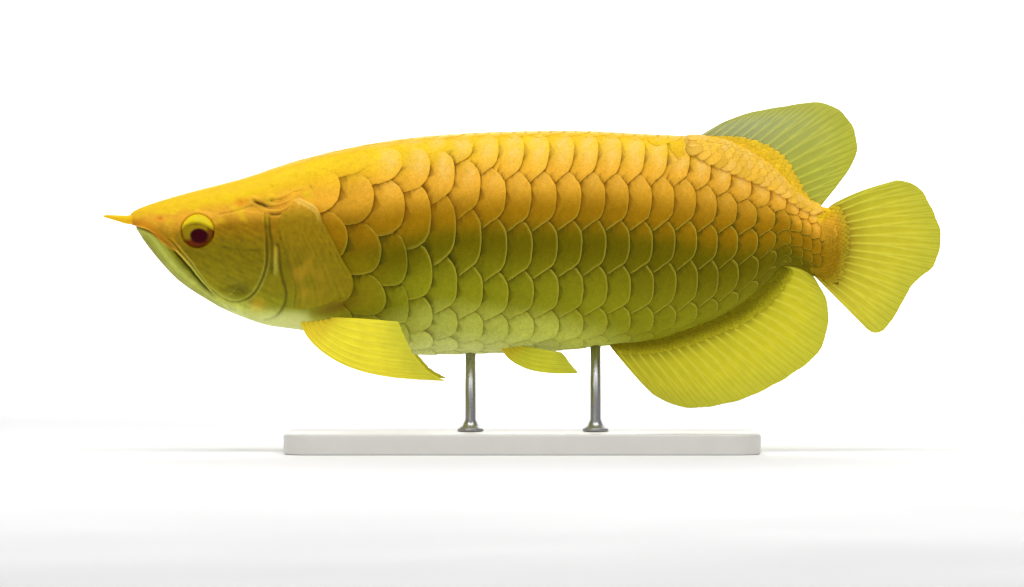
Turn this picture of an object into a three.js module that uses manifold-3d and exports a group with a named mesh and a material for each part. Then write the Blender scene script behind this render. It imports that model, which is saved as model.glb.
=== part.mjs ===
// Asian arowana, life size, swimming level with its head toward -X, held by a plain display stand.
// Millimetres, +Z up. The origin is the middle of the underside of the stand's base.
// The fish's left flank faces -Y. Heights are measured from the floor.
import * as THREE from 'three';
import { mergeVertices } from 'three/addons/utils/BufferGeometryUtils.js';
import Module from 'manifold-3d';

const wasm = await Module();
wasm.setup();

// Driving dimensions of the body: height of the back, height of the belly and half width, by place
const BACK = [[-267.5, 160.5], [-264, 164], [-254, 168.3], [-230, 175.7], [-192, 185.7], [-151, 198.6],
  [-107, 208.8], [-69, 214.3], [-15, 217.7], [33, 218.4], [87, 216], [114, 214.8], [135, 212.5],
  [155, 204.1], [169, 194.6], [189, 175.5], [199, 169], [209, 166.9], [220, 166.3]];
const BELLY = [[-267.5, 156], [-263, 151.5], [-257, 143], [-246, 129.3], [-233, 116], [-212, 102],
  [-192, 92.6], [-171, 85.8], [-151, 83], [-131, 77.6], [-107, 70.8], [-69, 65.9], [-15, 67.2],
  [33, 69.4], [50, 71.6], [87, 75], [114, 83], [135, 91.2], [155, 104.1], [169, 116.4],
  [179, 126.6], [189, 124.5], [199, 119.1], [209, 115], [220, 112.3]];
const HALF_WIDTH = [[-267.5, 2.6], [-263, 7], [-254, 11.5], [-240, 15.5], [-219, 20], [-192, 24.5],
  [-151, 28.5], [-107, 30.5], [-50, 31.5], [0, 31.5], [50, 29.5], [87, 26.5], [121, 22], [155, 16],
  [179, 12], [199, 9], [220, 5.5]];
// How full the section is above and below: the width follows the sine to these powers
const FULLNESS_ABOVE = [[-267.5, 0.6], [-180, 0.6], [-80, 0.76], [100, 0.8], [200, 0.9]];
const FULLNESS_BELOW = [[-267.5, 0.9], [-200, 0.95], [-100, 1.15], [120, 1.15], [200, 0.95]];
const SNOUT_X = -267.5;
const NAPE_X = -151;
const STALK_X = 121;
const CAUDAL_X = 216.2;
const NODE_GAP = 0.3;

// Driving dimensions of the scales: rear edges of the columns, and the rows round half the girth
const SCALE_COLUMNS = [[0, -146.2], [3, -79.6], [5, -44.9], [11, 56.4], [16, 131.9], [20, 182.2],
  [24, 216.5], [26, 231]];
const FRONT_COLUMN_PITCH = 22.5;
const LAST_COLUMN = 25;
const ROW_EDGES_MID = [27.5, 55, 82.5, 110, 133, 155, 171];
const ROW_EDGES_SHOULDER = [9, 19, 31, 66, 98, 126, 152];
const SHOULDER_X = -130;
const LEVEL_ROWS_X = -12;
// Places, in columns, where rear edges end on each line between rows: upper row first, lower row second
const UPPER_ROW_CORNER = [-0.85, -0.59, -0.3, -0.2, -0.16, -0.14, -0.12];
const LOWER_ROW_CORNER = [-0.38, -0.09, -0.03, 0.06, 0.09, 0.1, 0.12];
const REAR_EDGE = [-0.6, -0.3, -0.02, 0.03, 0.08, 0.08, 0.1, 0.24];
const CORNER_TILT = 2.3;
const SCALE_STEP = 1;
const SCALE_CROWN = 0.3;

const EYE = { x: -219.3, z: 149.7, radius: 12.2, bulge: 7, sunk: 2.5 };
const NOSTRIL = { x: -245.5, z: 158.6, radius: 1.5 };
const MOUTH_SLIT = 0.5;
const MOUTH_LINE = [[-276, 155], [-263.8, 153], [-252, 149.5], [-238.5, 139.5], [-227.5, 127.5],
  [-217.5, 115.5], [-208, 105], [-199, 97.5], [-188, 92.5], [-172, 76]];
const PLATE_RISE = 0.9;
const PLATE_SINK = 2.5;
const PLATE_EDGE = 0.2;
const GILL_COVER_THICKNESS = 2.4;
const GILL_COVER_RIM = 1.1;
const BARBEL_PATH = [[-262, -3.4, 158.6], [-268, -3.9, 158], [-275, -4.6, 159.1], [-281, -5.4, 160.1],
  [-285, -6, 160.6]];
const BARBEL_RADIUS = [[0, 3.4], [0.3, 3], [0.6, 2.1], [0.85, 1.4], [1, 0.5]];
const BARBEL_FLATNESS = 0.75;
// Fins: depth of the membrane between rays, curl of a paired fin away from the flank, and how much
// less its trailing ray stands out
const MEMBRANE_SHARE = 0.62;
const PAIRED_CURL = 1.35;
const TRAILING_LOSS = 0.25;

const STAND = { length: 320, width: 130, height: 14, corner: 20, bevel: 2 };
const ROD = { radius: 3.6, foot: 9, footHeight: 6, reach: 5, frontX: -35, rearX: 50 };

const COLOURS = {
  flesh: 0xc8962a, jaw: 0xa9b45a, cover: 0x8d7d1c, fin: 0xc6c03a, breastFin: 0xf0d838,
  dorsal: 0xabb25a, eye: 0x4a1c10, barbel: 0xf0c83a, stand: 0xd9d6cf, rod: 0xb8b8b8,
};

const root = new THREE.Group();

function material(colour, roughness = 0.45, metalness = 0) {
  return new THREE.MeshStandardMaterial({ color: colour, roughness, metalness });
}

function addNode(name, geometry, colour, roughness, metalness) {
  const mesh = new THREE.Mesh(geometry, material(colour, roughness, metalness));
  mesh.name = name;
  root.add(mesh);
}

// A smooth curve through pairs of [place, value] that never overshoots them
function smoothThrough(pairs) {
  const last = pairs.length - 1;
  const slopes = pairs.slice(1).map(([x, v], k) => (v - pairs[k][1]) / (x - pairs[k][0]));
  const tangents = pairs.map((pair, k) => {
    if (k === 0) return slopes[0];
    if (k === last) return slopes[last - 1];
    const before = slopes[k - 1];
    const after = slopes[k];
    return before * after <= 0 ? 0 : (2 * before * after) / (before + after);
  });
  return (x) => {
    if (x <= pairs[0][0]) return pairs[0][1];
    if (x >= pairs[last][0]) return pairs[last][1];
    let k = 0;
    while (x > pairs[k + 1][0]) k += 1;
    const width = pairs[k + 1][0] - pairs[k][0];
    const t = (x - pairs[k][0]) / width;
    const s = 1 - t;
    return pairs[k][1] * s * s * (1 + 2 * t) + pairs[k + 1][1] * t * t * (1 + 2 * s)
      + width * t * s * (tangents[k] * s - tangents[k + 1] * t);
  };
}

const backAt = smoothThrough(BACK);
const bellyAt = smoothThrough(BELLY);
const halfWidthAt = smoothThrough(HALF_WIDTH);
const fullnessAbove = smoothThrough(FULLNESS_ABOVE);
const fullnessBelow = smoothThrough(FULLNESS_BELOW);
const columnAt = smoothThrough(SCALE_COLUMNS);

function easeBetween(low, high, value) {
  const t = Math.min(1, Math.max(0, (value - low) / (high - low)));
  return t * t * (3 - 2 * t);
}

// Left flank of the bare body at place x and girth angle: 0 is the back, PI the belly
function skinPoint(x, angle) {
  const middle = (backAt(x) + bellyAt(x)) / 2;
  const halfDepth = (backAt(x) - bellyAt(x)) / 2;
  const lower = easeBetween(0.2 * Math.PI, 0.8 * Math.PI, Math.abs(angle));
  const power = fullnessAbove(x) * (1 - lower) + fullnessBelow(x) * lower;
  const sine = Math.abs(Math.sin(angle));
  const side = sine < 1e-9 ? 0 : halfWidthAt(x) * sine ** power * Math.sign(Math.sin(angle));
  return new THREE.Vector3(x, -side, middle + halfDepth * Math.cos(angle));
}

function skinNormal(x, angle) {
  const alongX = skinPoint(x + 0.5, angle).sub(skinPoint(x - 0.5, angle));
  const around = skinPoint(x, angle + 0.02).sub(skinPoint(x, angle - 0.02));
  const normal = alongX.cross(around).normalize().negate();
  if (Math.abs(Math.sin(angle)) < 1e-9) normal.setY(0).normalize();
  return normal;
}

// A point that stands proud of the bare skin by the given height
function onSkin(x, angle, height = 0) {
  return skinPoint(x, angle).addScaledVector(skinNormal(x, angle), height);
}

// The girth angle at which the left flank has this height
function angleAtHeight(x, z) {
  const middle = (backAt(x) + bellyAt(x)) / 2;
  const halfDepth = (backAt(x) - bellyAt(x)) / 2;
  return Math.acos(Math.min(1, Math.max(-1, (z - middle) / halfDepth)));
}

function geometryFrom(triangles) {
  const geometry = new THREE.BufferGeometry();
  const positions = new Float32Array(triangles.length * 9);
  triangles.flat().forEach((point, k) => point.toArray(positions, k * 3));
  geometry.setAttribute('position', new THREE.BufferAttribute(positions, 3));
  return mergeVertices(geometry, 1e-4);
}

function mirrored(triangles) {
  const flip = (p) => new THREE.Vector3(p.x, -p.y, p.z);
  return triangles.map(([a, b, c]) => [flip(a), flip(c), flip(b)]);
}

function mirroredGeometry(geometry) {
  const copy = geometry.clone();
  copy.scale(1, -1, 1);
  const index = copy.index.array;
  for (let k = 0; k < index.length; k += 3) {
    [index[k], index[k + 1]] = [index[k + 1], index[k]];
  }
  return copy;
}

function solidOf(geometry) {
  const bare = new THREE.BufferGeometry();
  bare.setAttribute('position', geometry.getAttribute('position').clone());
  if (geometry.index) bare.setIndex(geometry.index.clone());
  const merged = mergeVertices(bare, 1e-4);
  return new wasm.Manifold(new wasm.Mesh({
    numProp: 3,
    vertProperties: new Float32Array(merged.getAttribute('position').array),
    triVerts: new Uint32Array(merged.index.array),
  }));
}

function geometryOf(solid) {
  const mesh = solid.getMesh();
  const geometry = new THREE.BufferGeometry();
  geometry.setAttribute('position', new THREE.BufferAttribute(mesh.vertProperties, 3));
  geometry.setIndex(new THREE.BufferAttribute(mesh.triVerts, 1));
  return geometry;
}

// The closed pieces of a solid, largest first
function piecesOf(solid) {
  return solid.decompose().sort((a, b) => b.volume() - a.volume());
}

function largestOf(solid) {
  return geometryOf(piecesOf(solid)[0]);
}

function boxSolid(low, high) {
  const size = new THREE.Vector3().subVectors(high, low);
  const geometry = new THREE.BoxGeometry(size.x, size.y, size.z);
  geometry.translate((low.x + high.x) / 2, (low.y + high.y) / 2, (low.z + high.z) / 2);
  return solidOf(geometry);
}

// Everything between two places along the fish
function sliceBetween(fromX, toX) {
  return boxSolid(new THREE.Vector3(fromX, -200, -50), new THREE.Vector3(toX, 200, 400));
}

// A closed solid between two alike grids of points, front[i][j] facing outward and back[i][j] inward
function slabBetween(front, back) {
  const triangles = [];
  const quad = (a, b, c, d) => triangles.push([a, b, c], [a, c, d]);
  const lastI = front.length - 1;
  const lastJ = front[0].length - 1;
  for (let i = 0; i < lastI; i += 1) {
    for (let j = 0; j < lastJ; j += 1) {
      quad(front[i][j], front[i][j + 1], front[i + 1][j + 1], front[i + 1][j]);
      triangles.push([back[i][j], back[i + 1][j + 1], back[i][j + 1]]);
      triangles.push([back[i][j], back[i + 1][j], back[i + 1][j + 1]]);
    }
  }
  for (let i = 0; i < lastI; i += 1) {
    quad(front[i][0], front[i + 1][0], back[i + 1][0], back[i][0]);
    quad(front[i + 1][lastJ], front[i][lastJ], back[i][lastJ], back[i + 1][lastJ]);
  }
  for (let j = 0; j < lastJ; j += 1) {
    quad(front[0][j + 1], front[0][j], back[0][j], back[0][j + 1]);
    quad(front[lastI][j], front[lastI][j + 1], back[lastI][j + 1], back[lastI][j]);
  }
  return geometryFrom(triangles);
}

// Rings of points joined into a tube and closed at both ends
function loft(rings) {
  const triangles = [];
  const count = rings[0].length;
  for (let i = 0; i < rings.length - 1; i += 1) {
    for (let j = 0; j < count; j += 1) {
      const next = (j + 1) % count;
      triangles.push([rings[i][j], rings[i][next], rings[i + 1][next]]);
      triangles.push([rings[i][j], rings[i + 1][next], rings[i + 1][j]]);
    }
  }
  const middleOf = (ring) => ring.reduce((sum, p) => sum.add(p), new THREE.Vector3())
    .divideScalar(count);
  const first = middleOf(rings[0]);
  const last = middleOf(rings[rings.length - 1]);
  for (let j = 0; j < count; j += 1) {
    const next = (j + 1) % count;
    triangles.push([first, rings[0][next], rings[0][j]]);
    triangles.push([last, rings[rings.length - 1][j], rings[rings.length - 1][next]]);
  }
  return geometryFrom(triangles);
}

// A length of the bare body, swollen by the given height, with an even number of points round it
function bareBody(places, around, height) {
  return loft(places.map((x) => Array.from({ length: around }, (unused, j) => {
    const angle = (j / around) * 2 * Math.PI;
    const folded = angle <= Math.PI ? angle : 2 * Math.PI - angle;
    const point = onSkin(x, folded, height);
    if (angle > Math.PI) point.y = -point.y;
    return point;
  })));
}

function placesBetween(from, to, count, crowding = 1) {
  return Array.from({ length: count + 1 }, (unused, k) => from + (to - from) * (k / count) ** crowding);
}

// The scaly flank

function columnX(column) {
  return column < 0 ? SCALE_COLUMNS[0][1] + column * FRONT_COLUMN_PITCH : columnAt(column);
}

function rowEdgeAngle(row, x) {
  const level = Math.min(1, Math.max(0, (x - SHOULDER_X) / (LEVEL_ROWS_X - SHOULDER_X)));
  return ROW_EDGES_SHOULDER[row] * (1 - level) + ROW_EDGES_MID[row] * level;
}

// The steps between scales are shallow along the roots of the dorsal and anal fins
function stepAt(x, angle) {
  const degrees = THREE.MathUtils.radToDeg(angle);
  const dorsalRoot = (1 - easeBetween(12, 30, degrees)) * easeBetween(100, 118, x);
  const analRoot = easeBetween(150, 168, degrees) * easeBetween(45, 60, x);
  return SCALE_STEP * (1 - 0.7 * Math.max(dorsalRoot, analRoot));
}

// A point of the scale pattern; level 0 is the top of a rear edge, 1 the bottom of the step
function patternPoint(column, degrees, level) {
  const x = columnX(column);
  const angle = THREE.MathUtils.degToRad(degrees);
  return onSkin(x, angle, -level * stepAt(x, angle));
}

const upperCorner = (i, edge, level) => {
  const column = i + UPPER_ROW_CORNER[edge];
  return patternPoint(column, rowEdgeAngle(edge, columnX(column)) - CORNER_TILT, level);
};
const lowerCorner = (i, edge, level) => {
  const column = i + LOWER_ROW_CORNER[edge];
  return patternPoint(column, rowEdgeAngle(edge, columnX(column)) + CORNER_TILT, level);
};

const LAST_EDGE = ROW_EDGES_MID.length - 1;
const BELLY_ROW = LAST_EDGE + 1;

function rowMiddle(row, x) {
  if (row === 0) return 0;
  if (row === BELLY_ROW) return 180;
  return (rowEdgeAngle(row - 1, x) + rowEdgeAngle(row, x)) / 2;
}

function rearMiddle(i, row, level) {
  const column = i + REAR_EDGE[row];
  return patternPoint(column, rowMiddle(row, columnX(column)), level);
}

function scaleCentre(i, row) {
  const column = i - 0.5 + REAR_EDGE[row];
  return patternPoint(column, rowMiddle(row, columnX(column)), 0.5 - SCALE_CROWN);
}

// One scale of the left flank, its outline clockwise as seen from outside, raised toward its rear edge.
// On the back and belly rows it is the left half of a scale that the mirror image completes.
function scaleTriangles(i, row) {
  const outline = [];
  if (row > 0) {
    outline.push(lowerCorner(i - 1, row - 1, 1), upperCorner(i, row - 1, 0.5));
    outline.push(lowerCorner(i, row - 1, 0));
  }
  outline.push(rearMiddle(i, row, 0));
  if (row < BELLY_ROW) {
    outline.push(upperCorner(i, row, 0), lowerCorner(i - 1, row, 0.5), upperCorner(i - 1, row, 1));
  }
  outline.push(rearMiddle(i - 1, row, 1));
  const centre = scaleCentre(i, row);
  const onMedian = (a, b) => (row === 0 || row === BELLY_ROW) && a.y === 0 && b.y === 0;
  return outline.map((point, k) => [point, outline[(k + 1) % outline.length]])
    .filter(([point, next]) => !onMedian(point, next))
    .map(([point, next]) => [centre, next, point]);
}

// The steps round one scale: along its rear edge and along the line below its row
function stepTriangles(i, row) {
  const triangles = [];
  const rearHigh = rearMiddle(i, row, 0);
  const rearLow = rearMiddle(i, row, 1);
  if (row > 0) {
    const high = lowerCorner(i, row - 1, 0);
    const half = lowerCorner(i, row - 1, 0.5);
    const low = lowerCorner(i, row - 1, 1);
    triangles.push([half, high, rearHigh], [half, rearHigh, rearLow], [half, rearLow, low]);
  }
  if (row < BELLY_ROW) {
    const high = upperCorner(i, row, 0);
    const half = upperCorner(i, row, 0.5);
    const low = upperCorner(i, row, 1);
    triangles.push([half, low, rearLow], [half, rearLow, rearHigh], [half, rearHigh, high]);
  }
  return triangles;
}

function rowLineTriangles(i, edge) {
  const triangles = [];
  const wall = (a, b, c, d) => triangles.push([a, b, c], [a, c, d]);
  wall(upperCorner(i, edge, 0), lowerCorner(i - 1, edge, 0.5), lowerCorner(i - 1, edge, 1),
    upperCorner(i, edge, 0.5));
  if (i < LAST_COLUMN) {
    wall(upperCorner(i, edge, 0.5), lowerCorner(i, edge, 0), lowerCorner(i, edge, 0.5),
      upperCorner(i, edge, 1));
  }
  return triangles;
}

function endTriangles(i, atFront) {
  const level = atFront ? 1 : 0;
  const outline = [];
  for (let row = 0; row <= BELLY_ROW; row += 1) {
    outline.push(rearMiddle(i, row, level));
    if (row < BELLY_ROW && atFront) {
      outline.push(upperCorner(i, row, 1), lowerCorner(i, row, 0.5), lowerCorner(i, row, 1));
    } else if (row < BELLY_ROW) {
      outline.push(upperCorner(i, row, 0), upperCorner(i, row, 0.5), lowerCorner(i, row, 0));
    }
  }
  const x = columnX(i);
  const centre = new THREE.Vector3(x, 0, (backAt(x) + bellyAt(x)) / 2);
  return outline.slice(1).map((point, k) => (atFront
    ? [centre, point, outline[k]] : [centre, outline[k], point]));
}

function scalyGeometry() {
  const half = [...endTriangles(-1, true), ...endTriangles(LAST_COLUMN, false)];
  for (let i = 0; i <= LAST_COLUMN; i += 1) {
    for (let row = 0; row <= BELLY_ROW; row += 1) {
      half.push(...scaleTriangles(i, row));
      if (i < LAST_COLUMN) half.push(...stepTriangles(i, row));
      if (row < BELLY_ROW) half.push(...rowLineTriangles(i, row));
    }
  }
  return geometryFrom([...half, ...mirrored(half)]);
}

// The same surface moved out from the skin by the given height
function swelled(geometry, height) {
  const copy = geometry.clone();
  const position = copy.getAttribute('position');
  for (let k = 0; k < position.count; k += 1) {
    const point = new THREE.Vector3().fromBufferAttribute(position, k);
    const normal = skinNormal(point.x, angleAtHeight(point.x, point.z));
    if (point.y > 0) normal.y = -normal.y;
    if (point.y === 0) normal.setY(0).normalize();
    point.addScaledVector(normal, height);
    position.setXYZ(k, point.x, point.y, point.z);
  }
  return copy;
}

// Patches with four curved sides, drawn in side view as [x, z]

function sideCurve(points) {
  return new THREE.SplineCurve(points.map(([x, z]) => new THREE.Vector2(x, z)));
}

// A point of the patch: a runs from the leading to the trailing side, s from the root to the tip
function patchPoint(sides, a, s) {
  const lead = sides.lead.getPointAt(s);
  const trail = sides.trail.getPointAt(s);
  const rootPoint = sides.root.getPointAt(a);
  const tip = sides.tip.getPointAt(a);
  const corner = (curve, t) => curve.getPointAt(t);
  const blend = (axis) => (1 - a) * lead[axis] + a * trail[axis] + (1 - s) * rootPoint[axis]
    + s * tip[axis] - (1 - a) * (1 - s) * corner(sides.root, 0)[axis]
    - a * (1 - s) * corner(sides.root, 1)[axis] - (1 - a) * s * corner(sides.tip, 0)[axis]
    - a * s * corner(sides.tip, 1)[axis];
  return new THREE.Vector2(blend('x'), blend('y'));
}

function patchGrid(sides, across, along, place) {
  return Array.from({ length: across + 1 }, (unusedI, i) => Array.from(
    { length: along + 1 },
    (unusedJ, j) => place(patchPoint(sides, i / across, j / along), i / across, j / along, i),
  ));
}

// A plate lying on the left side of the head, between two heights over the skin
function headPlate(sides, across, along, inner, outer) {
  const grid = (height) => patchGrid(sides, across, along, (p, a, s) => onSkin(
    p.x, angleAtHeight(p.x, p.y), height(a, s)));
  return slabBetween(grid(outer), grid(inner));
}

// Thickness of a plate that thins toward its sides
function rimmed(thin, full) {
  return (a, s) => thin + (full - thin) * Math.min(1, 4 * Math.min(a, 1 - a, s, 1 - s));
}

const MAXILLA = {
  root: sideCurve([[-249, 151.5], [-246.5, 154.5]]),
  tip: sideCurve([[-203, 101.5], [-196, 103]]),
  lead: sideCurve([[-249, 151.5], [-238, 138.5], [-227, 126.5], [-214, 111], [-203, 101.5]]),
  trail: sideCurve([[-246.5, 154.5], [-235, 145.5], [-223, 129], [-211, 112.5], [-196, 103]]),
};
const CHEEK = {
  root: sideCurve([[-221, 130], [-205, 137], [-190, 148], [-174, 158]]),
  tip: sideCurve([[-203, 104.5], [-190, 103], [-178, 106.5], [-171.5, 118]]),
  lead: sideCurve([[-221, 130], [-215, 120], [-209, 111.5], [-203, 104.5]]),
  trail: sideCurve([[-174, 158], [-171, 145], [-170.5, 132], [-171.5, 118]]),
};
const PREOPERCLE = {
  root: sideCurve([[-167.5, 147], [-161, 147]]),
  tip: sideCurve([[-180, 100], [-172, 94.5], [-163, 95.5]]),
  lead: sideCurve([[-167.5, 147], [-168.5, 128], [-171, 112], [-180, 100]]),
  trail: sideCurve([[-161, 147], [-162, 128], [-158, 108], [-163, 95.5]]),
};
const GILL_COVER = {
  root: sideCurve([[-162, 165], [-156, 169.5], [-150, 172.5]]),
  tip: sideCurve([[-157, 96], [-146, 93.5], [-130, 100], [-117, 105], [-113.5, 108.5]]),
  lead: sideCurve([[-162, 165], [-166, 151], [-158.5, 128], [-154.5, 110], [-157, 96]]),
  trail: sideCurve([[-150, 172.5], [-138, 164.5], [-131.5, 146], [-125.5, 130], [-113.5, 108.5]]),
};

function eyeball(extra) {
  const angle = angleAtHeight(EYE.x, EYE.z);
  const normal = skinNormal(EYE.x, angle);
  const geometry = new THREE.SphereGeometry(1, 16, 9);
  geometry.scale(EYE.radius + extra, EYE.radius + extra, EYE.bulge + extra);
  geometry.applyQuaternion(new THREE.Quaternion().setFromUnitVectors(
    new THREE.Vector3(0, 0, 1), normal));
  const centre = onSkin(EYE.x, angle, -EYE.sunk);
  geometry.translate(centre.x, centre.y, centre.z);
  geometry.deleteAttribute('normal');
  geometry.deleteAttribute('uv');
  return mergeVertices(geometry, 1e-4);
}

// The slit that parts the lower jaw from the head, seen from the side
function mouthSlit() {
  const line = sideCurve(MOUTH_LINE);
  const steps = 18;
  const edge = (side) => Array.from({ length: steps + 1 }, (unused, k) => {
    const point = line.getPointAt(k / steps);
    const along = line.getTangentAt(k / steps);
    return new THREE.Vector2(point.x - along.y * side, point.y + along.x * side);
  });
  const outline = [...edge(MOUTH_SLIT / 2), ...edge(-MOUTH_SLIT / 2).reverse()];
  const geometry = new THREE.ExtrudeGeometry(new THREE.Shape(outline),
    { depth: 160, bevelEnabled: false });
  geometry.rotateX(Math.PI / 2);
  geometry.translate(0, 80, 0);
  return solidOf(geometry);
}

function nostrilPit() {
  const centre = onSkin(NOSTRIL.x, angleAtHeight(NOSTRIL.x, NOSTRIL.z), 0.3);
  const geometry = new THREE.SphereGeometry(NOSTRIL.radius, 8, 6);
  geometry.translate(centre.x, centre.y, centre.z);
  return geometry;
}

function addHead() {
  const places = placesBetween(SNOUT_X, NAPE_X - NODE_GAP / 2, 16, 1.35);
  let head = solidOf(bareBody(places, 22, 0));
  const bothSides = (geometry) => [solidOf(geometry), solidOf(mirroredGeometry(geometry))];
  const raised = rimmed(PLATE_EDGE, PLATE_RISE);
  const sunk = () => -PLATE_SINK;
  for (const [sides, across, along] of [[MAXILLA, 3, 8], [CHEEK, 5, 4], [PREOPERCLE, 3, 5]]) {
    for (const plate of bothSides(headPlate(sides, across, along, sunk, raised))) {
      head = head.add(plate);
    }
  }
  for (const cut of [eyeball(NODE_GAP), mergeVertices(nostrilPit(), 1e-4)]) {
    for (const solid of bothSides(cut)) head = head.subtract(solid);
  }
  head = head.subtract(sliceBetween(NAPE_X - NODE_GAP / 2, NAPE_X + 50));
  const [upper, lower] = piecesOf(head.subtract(mouthSlit()));
  addNode('head', geometryOf(upper), COLOURS.flesh);
  addNode('lower_jaw', geometryOf(lower), COLOURS.jaw);
  const eye = eyeball(0);
  addNode('eye_left', eye, COLOURS.eye, 0.15);
  addNode('eye_right', mirroredGeometry(eye), COLOURS.eye, 0.15);
}

function addGillCovers() {
  const inner = () => NODE_GAP + 0.1;
  const cover = headPlate(GILL_COVER, 8, 9, inner, (a, s) => NODE_GAP
    + rimmed(GILL_COVER_RIM, GILL_COVER_THICKNESS)(a, s));
  addNode('gill_cover_left', cover, COLOURS.cover);
  addNode('gill_cover_right', mirroredGeometry(cover), COLOURS.cover);
}

function addBarbels(swollen) {
  const sides = 8;
  const path = new THREE.CatmullRomCurve3(BARBEL_PATH.map((place) => new THREE.Vector3(...place)));
  const radii = smoothThrough(BARBEL_RADIUS);
  const rings = placesBetween(0, 1, 6).map((t) => Array.from({ length: sides }, (unused, j) => {
    const angle = (j / sides) * 2 * Math.PI;
    const point = path.getPoint(t);
    point.y += BARBEL_FLATNESS * radii(t) * Math.sin(angle);
    point.z += radii(t) * Math.cos(angle);
    return point;
  }));
  const barbel = largestOf(solidOf(loft(rings)).subtract(swollen));
  addNode('barbel_left', barbel, COLOURS.barbel);
  addNode('barbel_right', mirroredGeometry(barbel), COLOURS.barbel);
}

function addTrunk(scales) {
  const body = solidOf(scales);
  addNode('trunk', largestOf(body.intersect(
    sliceBetween(NAPE_X + NODE_GAP / 2, STALK_X - NODE_GAP / 2))), COLOURS.flesh);
  addNode('tail_stalk', largestOf(body.intersect(
    sliceBetween(STALK_X + NODE_GAP / 2, CAUDAL_X))), COLOURS.flesh);
}

// Fins

const DORSAL = {
  rays: 17,
  along: 4,
  root: sideCurve([[114, 210.5], [139, 206], [155, 199], [169, 189.5], [184, 175], [197, 165]]),
  tip: sideCurve([[136, 224.2], [160, 231.6], [182, 236], [200, 238], [214, 234], [224.5, 223],
    [227.8, 206], [221, 190], [204, 168]]),
  lead: sideCurve([[114, 210.5], [123, 216.6], [136, 224.2]]),
  trail: sideCurve([[197, 165], [204, 168]]),
  thickness: { root: 4.4, blade: 2, edge: 0.9 },
};
const ANAL = {
  rays: 22,
  along: 3,
  root: sideCurve([[56, 77], [87, 79.5], [114, 87], [140, 98.5], [160, 112.5], [177, 129]]),
  tip: sideCurve([[90, 38.2], [104, 32], [121, 30], [148, 35.4], [175, 47.7], [192, 58.6],
    [202.6, 69.5], [208, 86.5], [207.5, 103], [199.5, 117.5]]),
  lead: sideCurve([[56, 77], [66, 64.4], [79.5, 48.8], [90, 38.2]]),
  trail: sideCurve([[177, 129], [199.5, 117.5]]),
  thickness: { root: 4.4, blade: 2, edge: 0.9 },
};
const CAUDAL = {
  rays: 15,
  along: 5,
  root: sideCurve([[205, 163], [212, 150], [212, 135], [208, 123], [197, 121.5]]),
  tip: sideCurve([[258, 186], [269.8, 180.4], [279, 166], [284.8, 148], [280.2, 127], [266.5, 114.6],
    [253, 94.5], [238, 81]]),
  lead: sideCurve([[205, 163], [213, 169.8], [233, 178.6], [258, 186]]),
  trail: sideCurve([[197, 121.5], [216, 102.4], [238, 81]]),
  thickness: { root: 8, blade: 2.4, edge: 0.9 },
};

// Half thickness of a fin: crests on the rays, valleys in the membrane, thinning to the edge
function finHalfThickness({ root: atRoot, blade, edge }, s, onRay) {
  const shoulder = (atRoot - blade) * (1 - easeBetween(0, 0.3, s));
  const body = blade + (edge - blade) * s + shoulder;
  return (onRay ? body : body * MEMBRANE_SHARE) / 2;
}

function medianFin(fin, swollen) {
  const side = (sign) => patchGrid(fin, 2 * fin.rays, fin.along, (p, a, s, i) => new THREE.Vector3(
    p.x, sign * finHalfThickness(fin.thickness, s, i % 2 === 1), p.y));
  return largestOf(solidOf(outward(slabBetween(side(-1), side(1)))).subtract(swollen));
}

function signedVolume(geometry) {
  const position = geometry.getAttribute('position');
  const index = geometry.index.array;
  const corner = (k) => new THREE.Vector3().fromBufferAttribute(position, index[k]);
  let volume = 0;
  for (let k = 0; k < index.length; k += 3) {
    volume += corner(k).dot(corner(k + 1).cross(corner(k + 2))) / 6;
  }
  return volume;
}

// The same closed surface with its faces pointing out
function outward(geometry) {
  if (signedVolume(geometry) > 0) return geometry;
  const index = geometry.index.array;
  for (let k = 0; k < index.length; k += 3) {
    [index[k], index[k + 1]] = [index[k + 1], index[k]];
  }
  return geometry;
}

// Paired fins start sunk in the flank, and their tips stand out from it by the spread
const PECTORAL = {
  rays: 7,
  along: 6,
  root: sideCurve([[-151, 90.5], [-131, 92]]),
  tip: sideCurve([[-51.2, 49.2], [-63, 56.4], [-72, 66.5], [-78, 77], [-82.5, 89]]),
  lead: sideCurve([[-151, 90.5], [-145, 78], [-131.5, 66], [-112, 56.7], [-86, 51.4], [-51.2, 49.2]]),
  trail: sideCurve([[-131, 92], [-108, 91], [-82.5, 89]]),
  thickness: { root: 3.4, blade: 2.2, edge: 0.9 },
  sunk: 5,
  spread: 34,
};
const PELVIC = {
  rays: 5,
  along: 5,
  root: sideCurve([[-15, 71.5], [-2, 72.5]]),
  tip: sideCurve([[38.8, 54], [33.5, 59.5], [28, 67.5]]),
  lead: sideCurve([[-15, 71.5], [-8.5, 63.2], [4, 56.6], [20, 54], [38.8, 54]]),
  trail: sideCurve([[-2, 72.5], [12, 70.5], [28, 67.5]]),
  thickness: { root: 3, blade: 1.8, edge: 0.9 },
  sunk: 4,
  spread: 12,
};

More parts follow.
